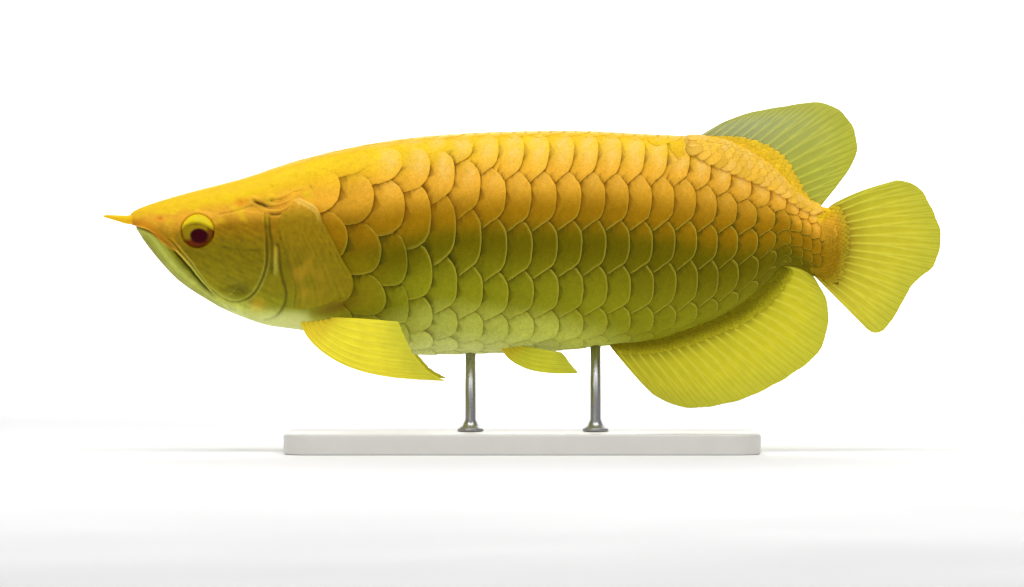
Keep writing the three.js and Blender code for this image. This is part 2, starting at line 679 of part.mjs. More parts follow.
function pairedFin(fin, swollen) {
  const rootY = (a) => {
    const p = fin.root.getPointAt(a);
    return onSkin(p.x, angleAtHeight(p.x, p.y), -fin.sunk).y;
  };
  const middle = patchGrid(fin, 2 * fin.rays, fin.along, (p, a, s) => new THREE.Vector3(
    p.x, rootY(a) - (fin.sunk + fin.spread) * Math.sin(s * PAIRED_CURL) * (1 - TRAILING_LOSS * a), p.y));
  const normalAt = (i, j) => {
    const at = (k, count) => Math.min(count - 1, Math.max(0, k));
    const across = middle[at(i + 1, middle.length)][j].clone()
      .sub(middle[at(i - 1, middle.length)][j]);
    const along = middle[i][at(j + 1, middle[i].length)].clone()
      .sub(middle[i][at(j - 1, middle[i].length)]);
    return across.cross(along).normalize();
  };
  const face = (sign) => middle.map((line, i) => line.map((point, j) => point.clone().addScaledVector(
    normalAt(i, j), sign * finHalfThickness(fin.thickness, j / fin.along, i % 2 === 1))));
  return largestOf(solidOf(outward(slabBetween(face(1), face(-1)))).subtract(swollen));
}

function addFins(swollen) {
  addNode('dorsal_fin', medianFin(DORSAL, swollen), COLOURS.dorsal);
  addNode('anal_fin', medianFin(ANAL, swollen), COLOURS.fin);
  addNode('caudal_fin', medianFin(CAUDAL, swollen), COLOURS.fin);
  for (const [name, fin, colour] of [['pectoral_fin', PECTORAL, COLOURS.breastFin],
    ['pelvic_fin', PELVIC, COLOURS.fin]]) {
    const left = pairedFin(fin, swollen);
    addNode(`${name}_left`, left, colour);
    addNode(`${name}_right`, mirroredGeometry(left), colour);
  }
}

// Display stand

function addStand(swollen) {
  const { length, width, height, corner, bevel } = STAND;
  const halfLength = length / 2 - bevel;
  const halfWidth = width / 2 - bevel;
  const shape = new THREE.Shape();
  shape.moveTo(-halfLength + corner, -halfWidth);
  shape.lineTo(halfLength - corner, -halfWidth);
  shape.absarc(halfLength - corner, -halfWidth + corner, corner, -Math.PI / 2, 0);
  shape.absarc(halfLength - corner, halfWidth - corner, corner, 0, Math.PI / 2);
  shape.absarc(-halfLength + corner, halfWidth - corner, corner, Math.PI / 2, Math.PI);
  shape.absarc(-halfLength + corner, -halfWidth + corner, corner, Math.PI, 1.5 * Math.PI);
  const base = new THREE.ExtrudeGeometry(shape, {
    depth: height - 2 * bevel, bevelEnabled: true, bevelSize: bevel, bevelThickness: bevel,
    bevelSegments: 1, curveSegments: 4,
  });
  base.translate(0, 0, bevel);
  addNode('stand_base', geometryOf(solidOf(base)), COLOURS.stand, 0.5);

  for (const [name, x] of [['stand_rod_front', ROD.frontX], ['stand_rod_rear', ROD.rearX]]) {
    const foot = height + NODE_GAP;
    const top = bellyAt(x) + ROD.reach;
    const profile = [[0, foot], [ROD.foot, foot], [ROD.foot, foot + 2], [ROD.radius + 1.5, foot
      + ROD.footHeight], [ROD.radius, foot + ROD.footHeight + 2], [ROD.radius, top], [0, top]];
    const rod = new THREE.LatheGeometry(profile.map(([r, z]) => new THREE.Vector2(r, z)), 14);
    rod.rotateX(Math.PI / 2);
    rod.translate(x, 0, 0);
    addNode(name, largestOf(solidOf(outward(closedLathe(rod))).subtract(swollen)), COLOURS.rod, 0.3, 0.9);
  }
}

// A turned form without the doubled points on its axis and seam
function closedLathe(geometry) {
  geometry.deleteAttribute('normal');
  geometry.deleteAttribute('uv');
  const merged = mergeVertices(geometry, 1e-4);
  const index = merged.index.array;
  const kept = [];
  for (let k = 0; k < index.length; k += 3) {
    const [a, b, c] = [index[k], index[k + 1], index[k + 2]];
    if (a !== b && b !== c && c !== a) kept.push(a, b, c);
  }
  merged.setIndex(kept);
  return merged;
}

const wholePlaces = [...placesBetween(SNOUT_X - 0.01, NAPE_X, 20, 1.35),
  ...placesBetween(NAPE_X, CAUDAL_X + NODE_GAP, 44).slice(1)];
const scales = scalyGeometry();
const swollen = solidOf(bareBody(wholePlaces, 36, NODE_GAP)).add(
  solidOf(swelled(scales, NODE_GAP)).intersect(sliceBetween(NAPE_X, CAUDAL_X + NODE_GAP)));

addHead();
addGillCovers();
addBarbels(swollen);
addTrunk(scales);
addFins(swollen);
addStand(swollen);

export default root;
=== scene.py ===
"""Asian arowana on a plain display stand, life size.

Lengths in the tables are millimetres in the frame's own axes: the head points to -X, the left flank
to -Y and +Z is up. Meshes are written in metres.
"""

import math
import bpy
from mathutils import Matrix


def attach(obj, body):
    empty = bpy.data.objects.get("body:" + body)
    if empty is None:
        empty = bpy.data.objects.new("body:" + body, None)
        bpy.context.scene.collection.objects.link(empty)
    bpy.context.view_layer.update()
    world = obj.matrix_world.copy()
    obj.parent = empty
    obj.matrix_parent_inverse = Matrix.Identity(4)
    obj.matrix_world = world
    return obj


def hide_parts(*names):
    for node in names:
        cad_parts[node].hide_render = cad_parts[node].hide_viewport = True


bl_info = {
    "name": "Asian arowana display model",
    "version": (1, 0, 0),
    "blender": (4, 5, 0),
    "location": "3D View > Sidebar > Arowana",
    "description": "Skin, scales, fins, eyes and stand of a life-size fish model",
    "category": "Add Mesh",
}

from types import SimpleNamespace

import bpy
import numpy as np
from bpy.props import FloatProperty, FloatVectorProperty, PointerProperty
from mathutils import Vector

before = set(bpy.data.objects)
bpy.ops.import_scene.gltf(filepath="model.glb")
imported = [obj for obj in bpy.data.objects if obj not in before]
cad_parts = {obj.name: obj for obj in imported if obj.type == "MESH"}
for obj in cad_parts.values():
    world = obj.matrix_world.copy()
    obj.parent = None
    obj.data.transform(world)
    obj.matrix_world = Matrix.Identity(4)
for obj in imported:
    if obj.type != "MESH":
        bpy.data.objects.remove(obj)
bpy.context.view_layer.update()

MM = 0.001
PI = math.pi

# Body: height of the back, height of the belly and half width, by place along the fish
BACK = [[-267.5, 160.5], [-264, 164], [-254, 168.3], [-230, 175.7], [-192, 185.7], [-151, 198.6],
        [-107, 208.8], [-69, 214.3], [-15, 217.7], [33, 218.4], [87, 216], [114, 214.8],
        [135, 212.5], [155, 204.1], [169, 194.6], [189, 175.5], [199, 169], [209, 166.9],
        [220, 166.3]]
BELLY = [[-267.5, 156], [-263, 151.5], [-257, 143], [-246, 129.3], [-233, 116], [-212, 102],
         [-192, 92.6], [-171, 85.8], [-151, 83], [-131, 77.6], [-107, 70.8], [-69, 65.9],
         [-15, 67.2], [33, 69.4], [50, 71.6], [87, 75], [114, 83], [135, 91.2], [155, 104.1],
         [169, 116.4], [179, 126.6], [189, 124.5], [199, 119.1], [209, 115], [220, 112.3]]
HALF_WIDTH = [[-267.5, 2.6], [-263, 7], [-254, 11.5], [-240, 15.5], [-219, 20], [-192, 24.5],
              [-151, 28.5], [-107, 30.5], [-50, 31.5], [0, 31.5], [50, 29.5], [87, 26.5],
              [121, 22], [155, 16], [179, 12], [199, 9], [220, 5.5]]
# How full the section is above and below: the width follows the sine to these powers
FULLNESS_ABOVE = [[-267.5, 0.6], [-180, 0.6], [-80, 0.76], [100, 0.8], [200, 0.9]]
FULLNESS_BELOW = [[-267.5, 0.9], [-200, 0.95], [-100, 1.15], [120, 1.15], [200, 0.95]]
SNOUT_X = -267.5
SKIN_END_X = 215
# Where the scaled skin begins, by girth angle in degrees from the back
NAPE_LINE = [[0, -147], [50, -149], [60, -142], [110, -130], [130, -122], [180, -126]]

# Scales: rear edges of the columns, and edges of the rows in degrees of girth
SCALE_COLUMNS = [[0, -146.2], [3, -79.6], [5, -44.9], [11, 56.4], [16, 131.9], [20, 182.2],
                 [22, 196.6], [24, 208.6], [27, 224]]
FRONT_COLUMN_PITCH = 22.5
LAST_COLUMN = 25
# The edges between rows, in degrees of girth, for scales whose rear point is at each place
ROW_EDGES = [
    [-140, (9, 15, 28, 62, 92, 120, 148)],
    [-123, (9, 17, 36, 69, 98, 125, 150)],
    [-100, (9, 19, 45, 77, 104.5, 130, 153)],
    [-79, (10, 22, 53, 83.5, 110.5, 135, 157)],
    [-61, (12, 27, 58.5, 90.5, 118, 141, 161)],
    [-44, (14, 36, 66.5, 98.5, 126, 148, 166)],
    [-27, (16, 47, 75.3, 104.5, 130, 153, 169.5)],
    [-10, (17, 53.5, 80.3, 108, 132, 155, 171)],
    [8, (17, 55.5, 82, 107.5, 131, 155, 171)],
    [30, (17, 56, 82, 106.5, 131, 155, 171)],
    [80, (17, 57, 83, 107, 132, 156, 171)],
    [100, (17, 58, 83.6, 107, 133.5, 157, 171)],
    [116, (28, 60, 84.7, 108.3, 137, 160, 172)],
    [130, (40, 64.5, 88, 110.8, 139.5, 163, 173)],
    [144, (46, 69, 90.4, 113.8, 141, 165, 174)],
    [157, (49, 73, 93.6, 116, 142.5, 165, 174)],
    [170, (50, 76, 98, 119, 143, 164, 174)],
    [181, (49, 78, 103, 123, 142, 161, 172)],
    [193, (42, 68, 92, 115, 136, 157, 171)],
    [210, (33, 60, 85, 109, 132, 155, 171)],
]
# How far behind the columns each row's scales lie, in millimetres at the shoulder and in pitches
SHOULDER_SHIFT = [0, 0, -2, 0, 4, 7, 7, 5]
REAR_EDGE = [-0.6, -0.3, -0.02, 0.03, 0.08, 0.08, 0.1, 0.24]
BELLY_ROW = 7
# One scale's whole edge, [place, row place]: pitches from its rearmost point and rows from its upper
# row line, from the pointed top round the rear, along the straight lower edge and back by its root
FLANK_OUTLINE = [[-0.36, -0.11], [-0.2, 0.0], [-0.05, 0.14], [0.0, 0.3], [-0.005, 0.48],
                 [-0.06, 0.69], [-0.2, 0.85], [-0.56, 0.975], [-0.99, 1.12], [-1.3, 1.12],
                 [-1.62, 0.85], [-1.72, 0.5], [-1.6, 0.1], [-1.3, -0.2], [-0.9, -0.3], [-0.6, -0.22]]
SHOULDER_OUTLINE = [[-0.55, -0.09], [-0.29, 0.05], [-0.1, 0.22], [-0.005, 0.42], [-0.005, 0.6],
                    [-0.08, 0.78], [-0.25, 0.92], [-0.5, 1.0], [-0.82, 1.03], [-1.2, 1.04],
                    [-1.6, 0.85], [-1.74, 0.5], [-1.62, 0.05], [-1.35, -0.3], [-1.0, -0.36],
                    [-0.75, -0.22]]
# How many points of these tables lie on the rear edge
REAR_POINTS = 9
# Half the edge of a scale of the belly row, from its rearmost point to its root
BELLY_HALF_OUTLINE = [[0, 0.5], [-0.04, 0.25], [-0.15, 0.1], [-0.36, -0.06], [-0.8, -0.2],
                      [-1.3, -0.15], [-1.6, 0.2], [-1.7, 0.5]]
# Rings of points on a scale, as shares from its centre to its edge
SCALE_RINGS = [0, 0.35, 0.6, 0.78, 0.88, 0.94, 0.975, 0.992, 1.0]
# Usual pitch of the flank's columns, and the lowest level of a scale's root
FLANK_PITCH = 17
DEEPEST_ROOT = -4.2
# Share of its cell of the baking map that a scale leaves free
CELL_MARGIN = 0.08
DORSAL_ROOT_X = 124
ANAL_ROOT_X = 62

# The eye: its middle, radius across the flank, bulge, how far its centre lies in, depth of its
# socket, and place and half sizes of the pupil
EYE = {"x": -219.3, "z": 150.2, "radius": 11.8, "bulge": 7.0, "sunk": 2.5, "socket": 6.5,
       "pupil_u": 1.9, "pupil_v": -3.6, "pupil_wide": 5.7, "pupil_high": 4.5}

# Lines of the head in side view, [x, z]
MOUTH = [[-276, 155], [-263.8, 153], [-252, 149.5], [-238.5, 139.5], [-227.5, 127.5],
         [-217.5, 115.5], [-208, 105], [-199, 97.5], [-188, 92.5]]
LIP = [[-264, 153.4], [-258.5, 152.9], [-254, 151.3], [-249.7, 148.4], [-246.2, 145.3],
       [-240.6, 140.4], [-232.1, 134.9], [-227.2, 130.2], [-222.4, 124.1], [-218.7, 119.4],
       [-215.7, 115.6], [-211, 110]]
CHEEK_EDGE = [[-242.4, 147.7], [-236.9, 143.5], [-232.1, 138], [-228.5, 133.6], [-224.2, 128.9],
              [-221.1, 124.1], [-217.6, 119.4], [-212.6, 112.6], [-207.4, 108.5], [-201.7, 104.5],
              [-194.5, 102.3], [-187.1, 103.8], [-181.1, 108.1], [-176.8, 114.7], [-173.5, 122.9],
              [-172.1, 131.4], [-172.3, 143.5], [-173.2, 155.6], [-173.5, 161.7]]
CHEEK_TOP = [[-173.5, 161.7], [-190, 163.5], [-204, 160.5], [-212, 163], [-226, 163], [-235, 156],
             [-242.4, 147.7]]
STRIP_FRONT = [[-170.8, 159.7], [-170.1, 149.3], [-168.6, 142], [-168.3, 132], [-168.6, 122]]
STRIP_REAR = [[-165.3, 140.9], [-164.2, 138.4], [-163.5, 128.7], [-162.2, 120.2], [-160.2, 112.9],
              [-159.2, 106.8], [-160.4, 100.8], [-164.1, 94.7], [-168.9, 90.8], [-173.8, 89.6]]
COVER_SHADE = [[-156, 147], [-155.8, 137.2], [-156.2, 127.5]]
EYE_GROOVE = [[-203.5, 139.5], [-197, 138.6], [-190, 137.3], [-176.8, 137]]
TEMPLE_SLIT = [[-205, 161.5], [-194, 163.5], [-182, 167.5]]
JAW_BAND = [[-260, 151.2], [-251.5, 146.9], [-245.4, 138.4], [-238.1, 128.7], [-229.6, 120.2],
            [-219.9, 112.3], [-210.2, 105.6], [-200.5, 99.6]]
COVER = {
    "root": [[-162, 165], [-156, 169.5], [-150, 172.5]],
    "tip": [[-157, 96], [-143, 97], [-128, 102], [-117.5, 106.5], [-113.4, 112.5], [-115, 121]],
    "lead": [[-162, 165], [-166, 151], [-158.5, 128], [-154.5, 110], [-157, 96]],
    "trail": [[-150, 172.5], [-138.5, 166], [-133.5, 155], [-126.7, 142.7], [-120.5, 130],
              [-115, 121]],
}
# Folds over the top of the gill slit
FOLDS = (
    [[-184, 172], [-177.1, 168.6], [-170.3, 165.9], [-162.1, 166.6], [-155.3, 170]],
    [[-171.7, 171.3], [-163.5, 170.7], [-153.9, 174.7], [-148.5, 177.5]],
    [[-171.7, 162.1], [-164.9, 161.5], [-156.7, 164.5], [-154, 167.2]],
)
# Head lines by name, and the relief at them: depths of the folds, depth and width of the grooves
HEAD_LINES = {"mouth": MOUTH, "lip": LIP, "cheek": CHEEK_EDGE, "top": CHEEK_TOP, "front": STRIP_FRONT,
              "rear": STRIP_REAR, "shade": COVER_SHADE, "groove": EYE_GROOVE, "slit": TEMPLE_SLIT,
              "jaw": JAW_BAND, "fold_a": FOLDS[0], "fold_b": FOLDS[1], "fold_c": FOLDS[2]}
FOLD_DEPTHS = {"fold_a": 1.0, "fold_b": 0.9, "fold_c": 1.1}
GROOVES = {"front": (0.7, 0.7), "rear": (1.1, 0.8), "groove": (0.35, 0.7), "slit": (0.6, 0.6)}
# Hollows of the head: x, z, half width, half height and depth, which is negative where it is raised
HEAD_DENTS = [(-176.5, 169.5, 7, 1.8, 0.5), (-194, 112, 9, 5, 1.4), (-190, 109.5, 6, 3, 0.9),
              (-197, 111.2, 4, 0.9, -0.8), (-178, 103, 6, 8, -0.8), (-245.5, 158.6, 1.3, 1.3, 1.4),
              (-190.5, 169.5, 1.6, 1.2, 0.6), (-253, 160.5, 0.9, 1.5, 0.7), (-231, 151, 4, 9, -0.5),
              (-206, 151, 3, 8, -0.3)]
# Darkness and width of the painted shade in the creases along head lines, and x, z and size of orange spots
CREASES = {"front": (0.65, 0.9), "rear": (0.75, 0.9), "slit": (0.2, 0.7), "groove": (0.3, 0.8),
           "shade": (0.35, 2.6)}
ORANGE_SPOTS = ((-245.5, 158.4, 2.0), (-190.5, 169.5, 2.6), (-186, 170.5, 1.6))
# Where the skin's rows turn from the head's close spacing to the trunk's, and how far in the skin
# and the inner faces of the gill covers lie under a cover
HEAD_END_X = -140
COVER_BED = 1.2
# Barbels: middle line [x, y, z], and radius by share of the length
BARBEL_PATH = [[-256, -3.0, 157.6], [-262, -3.4, 158.4], [-268, -3.9, 158], [-275, -4.6, 159.1],
               [-281, -5.4, 160.1], [-285, -6, 160.6]]
BARBEL_RADIUS = [[0, 3.6], [0.2, 3.5], [0.45, 2.9], [0.7, 1.9], [0.88, 1.2], [1, 0.5]]

# Fins: four sides in side view, number of rays, thickness at the root, in the blade and at the edge,
# rounding of the outer corners, strength of the painted crests (the rays' paler colour, partly painted
# highlight, and the painted shade between them) and reach of the root's colour
DORSAL = {
    "rays": 17, "thick": (4.4, 2.0, 0.9), "round": 0.02, "crests": 0.32, "reach": 0.25,
    "root": [[114, 210.5], [139, 206], [155, 199], [169, 189.5], [184, 175], [197, 165]],
    "tip": [[136, 224.2], [148, 228.9], [160, 232.2], [182, 236], [200, 238], [214, 234], [224.5, 223],
            [227.8, 206], [221, 190], [204, 168]],
    "lead": [[114, 210.5], [123, 216.6], [136, 224.2]],
    "trail": [[197, 165], [204, 168]],
}
ANAL = {
    "rays": 22, "thick": (4.4, 2.0, 0.9), "round": 0.03, "crests": 0.4, "reach": 0.4,
    "root": [[56, 77], [87, 79.5], [114, 87], [140, 98.5], [160, 112.5], [177, 129]],
    "tip": [[90, 38.2], [104, 32], [121, 30], [148, 35.4], [175, 47.7], [192, 58.6],
            [202.6, 69.5], [208, 86.5], [207.5, 103], [199.5, 118.5]],
    "lead": [[56, 77], [66, 64.4], [79.5, 48.8], [90, 38.2]],
    "trail": [[177, 129], [189, 126.5], [199.5, 118.5]],
}
CAUDAL = {
    "rays": 15, "thick": (8.0, 2.4, 0.9), "round": 0.055, "crests": 0.45, "reach": 0.4,
    "root": [[205, 163], [212, 150], [212, 135], [208, 123], [197, 121.5]],
    "tip": [[258, 186], [269.8, 180.4], [279, 166], [284.8, 148], [280.2, 127], [266.5, 114.6],
            [256, 97], [250.5, 87.5], [245, 81.5], [240, 79.8], [236, 82.2]],
    "lead": [[205, 163], [213, 169.8], [233, 178.6], [258, 186]],
    "trail": [[197, 121.5], [216, 102.4], [236, 82.2]],
}
PECTORAL = {
    "rays": 7, "thick": (3.4, 2.2, 0.9), "round": 0.01, "crests": 0.22, "reach": 0.3,
    "sunk": 5.0, "spread": 34.0,
    "root": [[-151, 90.5], [-131, 92]],
    "tip": [[-51.2, 49.2], [-63, 56.4], [-72, 66.5], [-78, 77], [-82.5, 89]],
    "lead": [[-151, 90.5], [-145, 78], [-131.5, 66], [-112, 56.7], [-86, 51.4], [-51.2, 49.2]],
    "trail": [[-131, 92], [-108, 91], [-82.5, 89]],
}
PELVIC = {
    "rays": 5, "thick": (3.0, 1.8, 0.9), "round": 0.04, "crests": 0.22, "reach": 0.3,
    "sunk": 4.0, "spread": 12.0,
    "root": [[-15, 71.5], [-2, 72.5]],
    "tip": [[38.8, 54], [33.5, 59.5], [28, 67.5]],
    "lead": [[-15, 71.5], [-8.5, 63.2], [4, 56.6], [20, 54], [38.8, 54]],
    "trail": [[-2, 72.5], [12, 70.5], [28, 67.5]],
}
# Small scales at the fin roots: how far up the fin they reach by place across it, how many stand
# across and in rows, their length and width, and the share of the fin by which they start before it
SHEATHS = {
    "dorsal": {"fin": DORSAL, "across": 24, "rows": 4, "size": (8.0, 6.0), "before": 0.0,
               "reach": [[0, 0.12], [0.25, 0.2], [0.5, 0.22], [0.8, 0.14], [1, 0.05]]},
    "anal": {"fin": ANAL, "across": 44, "rows": 7, "size": (6.4, 4.4), "before": 0.0,
             "reach": [[0, 0.2], [0.3, 0.2], [0.7, 0.24], [1, 0.3]]},
    "tail": {"fin": CAUDAL, "across": 18, "rows": 8, "size": (5.2, 4.0), "before": 0.10,
             "reach": [[0, 0.16], [0.5, 0.13], [1, 0.2]]},
}

STAND = {"length": 320, "width": 130, "height": 14, "corner": 20, "bevel": 2}
ROD = {"radius": 3.6, "foot": 9, "reach": 5, "places": (-35, 50), "gap": 0.3}

# Stage: the floor in millimetres; lights in metres and watts; middle of the picture in metres
FLOOR = {"reach": 11000, "bend": 6500, "radius": 3000, "top": 12000}
LIGHTS = {
    "top_light": {"place": (0.0, -0.45, 1.5), "target": (0.0, 0.0, 0.15), "size": (1.8, 0.8),
                  "power": 16},
    "front_fill": {"place": (-0.6, -2.2, 0.7), "target": (0.0, 0.0, 0.14), "size": (1.6, 1.0),
                   "power": 3},
    "back_light": {"place": (0.3, 1.6, 1.4), "target": (0.0, 0.0, 0.2), "size": (1.6, 0.8),
                   "power": 8},
    "backdrop_light": {"place": (0.0, 3.6, 4.6), "target": (0.0, 9.0, 1.2), "size": (6.5, 2.0),
                       "power": 800},
}
PICTURE_MIDDLE = (-0.0068, 0.1079)
# Sockets of a colour mix node by number, since their names repeat
MIX_SHARE, MIX_FIRST, MIX_SECOND, MIX_RESULT = 0, 6, 7, 2

# Where each body colour is reached, as shares of the depth from back to belly, by place
BANDS = ("gold", "amber", "bronze", "olive", "moss", "sage", "pale")
BAND_PLACES = [
    [-262, (0.05, 0.30, 0.70, 0.80, 0.90, 1.00, 1.20)],
    [-200, (0.12, 0.23, 0.34, 0.52, 0.84, 0.92, 1.00)],
    [-130, (0.05, 0.25, 0.41, 0.66, 0.86, 0.95, 1.02)],
    [-60, (0.03, 0.21, 0.37, 0.48, 0.71, 0.84, 1.02)],
    [20, (0.01, 0.20, 0.37, 0.50, 0.78, 0.91, 1.05)],
    [60, (0.01, 0.20, 0.38, 0.52, 0.86, 1.06, 1.30)],
    [100, (0.01, 0.20, 0.42, 0.57, 1.00, 1.30, 1.50)],
    [150, (0.00, 0.21, 0.53, 0.72, 1.12, 1.40, 1.60)],
    [185, (0.06, 0.25, 0.56, 0.90, 1.30, 1.50, 1.70)],
    [196, (0.10, 0.27, 0.58, 0.98, 1.40, 1.60, 1.80)],
    [213, (0.05, 0.18, 0.60, 1.20, 1.50, 1.60, 1.80)],
]


def srgb(red, green, blue):
    """Linear colour of a screen colour given in steps of 0 to 255."""
    def channel(value):
        value /= 255
        return value / 12.92 if value <= 0.04045 else ((value + 0.055) / 1.055) ** 2.4
    return channel(red), channel(green), channel(blue)


def colour_property(name, description, rgb):
    """A colour setting with its default."""
    return FloatVectorProperty(name=name, description=description, default=srgb(*rgb),
                               subtype="COLOR", size=3, min=0, max=1)


class ArowanaBodySettings(bpy.types.PropertyGroup):
    """Sizes and colours of the skin and scales."""
    coat_depth: FloatProperty(name="Coat depth", default=2.2 * MM, unit="LENGTH",
                              description="How far the skin lies below the scales' outer level")
    rise: FloatProperty(name="Scale rise", default=0.8 * MM, unit="LENGTH",
                        description="How far a scale rises over its own visible length")
    thickness: FloatProperty(name="Scale thickness", default=0.38 * MM, unit="LENGTH",
                             description="Thickness of one scale at its rim")
    crown: FloatProperty(name="Scale crown", default=0.22 * MM, unit="LENGTH",
                         description="Height of the dome of one scale")
    gold: colour_property("Gold", "Colour of the back", (252, 206, 30))
    amber: colour_property("Amber", "Colour below the back", (246, 180, 50))
    bronze: colour_property("Bronze", "Colour of the upper flank", (158, 114, 8))
    olive: colour_property("Olive", "Darkest colour of the mid flank", (104, 93, 2))
    moss: colour_property("Moss", "Colour of the lower flank", (142, 142, 22))
    sage: colour_property("Sage", "Colour near the belly", (192, 198, 82))
    pale: colour_property("Pale", "Colour of the belly and throat", (216, 222, 138))
    orange: colour_property("Orange", "Flush on the snout and temple", (238, 142, 24))
    # This colour is painted shade: in the head's creases, between the scales, at the fin roots, along the
    # gill covers' front edge and above the pectoral fins.
    painted_shade: colour_property("Hollow", "Darkest creases of the cheek", (70, 66, 6))
    # This colour is the painted highlight on the upper large scales; it also colours patches of the small
    # scales before the dorsal fin and the pale rim of the gill covers.
    cream: colour_property("Cream", "Bloom on the upper scales", (255, 210, 112))
    tan: colour_property("Tan", "Cheek and gill covers", (150, 130, 12))
    # This colour is warm painted shade in the creases between the upper scales and above the pectoral fins.
    warm_shade: colour_property("Rust", "Creases between the upper scales", (136, 84, 10))


class ArowanaFinSettings(bpy.types.PropertyGroup):
    """Colours of the fins."""
    dorsal_front: colour_property("Dorsal front", "Front of the dorsal fin", (178, 188, 132))
    dorsal_rear: colour_property("Dorsal rear", "Rear of the dorsal fin", (186, 190, 70))
    anal: colour_property("Anal fin", "Blade of the anal fin", (224, 214, 44))
    caudal: colour_property("Tail fin", "Blade of the tail fin", (220, 208, 52))
    edge: colour_property("Fin edge", "Outer edge of the fins", (184, 186, 48))
    pectoral: colour_property("Pectoral fin", "Blade of the pectoral fin", (255, 238, 56))
    pelvic: colour_property("Pelvic fin", "Blade of the pelvic fin", (208, 206, 46))
    # The crests' lighter colour is partly the rays' own and partly painted highlight on their raised
    # ridges.
    crest: colour_property("Ray crest", "Raised rays of the fins", (232, 226, 84))


class ArowanaEyeSettings(bpy.types.PropertyGroup):
    """Colours of the eyes."""
    pupil: colour_property("Pupil", "Pupil of the eye", (58, 0, 12))
    iris: colour_property("Iris", "Upper part of the iris", (160, 134, 18))
    iris_shade: colour_property("Iris shade", "Lower part of the iris", (104, 26, 4))
    lid: colour_property("Lid", "Tissue over the top of the eye", (232, 206, 30))


class ArowanaStageSettings(bpy.types.PropertyGroup):
    """Sizes and colours of the stand and the stage."""
    board: colour_property("Board", "Base of the stand", (222, 220, 214))
    steel: colour_property("Steel", "Rods of the stand", (176, 176, 178))
    floor: colour_property("Floor", "Floor and backdrop", (250, 250, 250))
    camera_distance: FloatProperty(name="Camera distance", default=3.2, unit="LENGTH",
                                   description="Distance of the camera from the fish")
    frame_width: FloatProperty(name="Frame width", default=0.69632, unit="LENGTH",
                               description="Width of the picture at the fish")


# Curves and surfaces


def smooth_through(pairs):
    """Curve through [place, value] pairs: cubic pieces whose slope at a pair is the harmonic mean of
    the straight slopes on its two sides, or none where those differ in sign; flat beyond the ends."""
    place, value = np.array(pairs, float).T
    slope = np.diff(value) / np.diff(place)
    product = slope[:-1] * slope[1:]
    total = np.where(product > 0, slope[:-1] + slope[1:], 1)
    tangent = np.concatenate([slope[:1], np.where(product > 0, 2 * product / total, 0), slope[-1:]])

    def curve(x):
        x = np.clip(x, place[0], place[-1])
        k = np.clip(np.searchsorted(place, x, side="right") - 1, 0, len(place) - 2)
        width = place[k + 1] - place[k]
        t = (x - place[k]) / width
        s = 1 - t
        return (value[k] * s * s * (1 + 2 * t) + value[k + 1] * t * t * (1 + 2 * s)
                + width * t * s * (tangent[k] * s - tangent[k + 1] * t))
    return curve


back_at = smooth_through(BACK)
belly_at = smooth_through(BELLY)
half_width_at = smooth_through(HALF_WIDTH)
fullness_above = smooth_through(FULLNESS_ABOVE)
fullness_below = smooth_through(FULLNESS_BELOW)
column_curve = smooth_through(SCALE_COLUMNS)
nape_line = smooth_through(NAPE_LINE)


def ease(low, high, value):
    """Smooth step: 0 below low, 1 above high, 3t^2 - 2t^3 between."""
    t = np.clip((value - low) / (high - low), 0, 1)
    return t * t * (3 - 2 * t)


def bell(value, middle, width):
    """1 at the middle, falling as exp(-d^2) with the distance d from it, counted in widths."""
    return np.exp(-((value - middle) / width) ** 2)


def mix(a, b, share):
    """a where share is 0, b where it is 1; share may lack the colour axis."""
    share = np.asarray(share)[..., None]
    return np.asarray(a) * (1 - share) + np.asarray(b) * share


def unit(vectors):
    """Vectors scaled to length 1."""
    return vectors / np.maximum(np.linalg.norm(vectors, axis=-1, keepdims=True), 1e-12)


def skin_point(x, angle):
    """Smooth body: at place x the section has z = middle + half depth * cos(angle) and
    width = half width * |sin(angle)| to a power that eases from the upper to the lower fullness."""
    x, angle = np.broadcast_arrays(np.asarray(x, float), np.asarray(angle, float))
    back, belly = back_at(x), belly_at(x)
    lower = ease(0.2 * PI, 0.8 * PI, np.abs(angle))
    power = fullness_above(x) * (1 - lower) + fullness_below(x) * lower
    sine = np.sin(angle)
    side = half_width_at(x) * np.abs(sine) ** power * np.sign(sine)
    return np.stack([x, -side, (back + belly) / 2 + (back - belly) / 2 * np.cos(angle)], -1)


def skin_normal(x, angle):
    """Outward direction of the smooth body: cross product of central differences round and along."""
    along = skin_point(x + 0.5, angle) - skin_point(x - 0.5, angle)
    around = skin_point(x, angle + 0.02) - skin_point(x, angle - 0.02)
    return -unit(np.cross(along, around))


def on_skin(x, angle, height):
    """Smooth body point moved out along its normal by the height."""
    return skin_point(x, angle) + skin_normal(x, angle) * np.asarray(height)[..., None]


def angle_at_height(x, z):
    """Girth angle of the left flank at height z."""
    back, belly = back_at(x), belly_at(x)
    return np.arccos(np.clip((z - (back + belly) / 2) / ((back - belly) / 2), -1, 1))


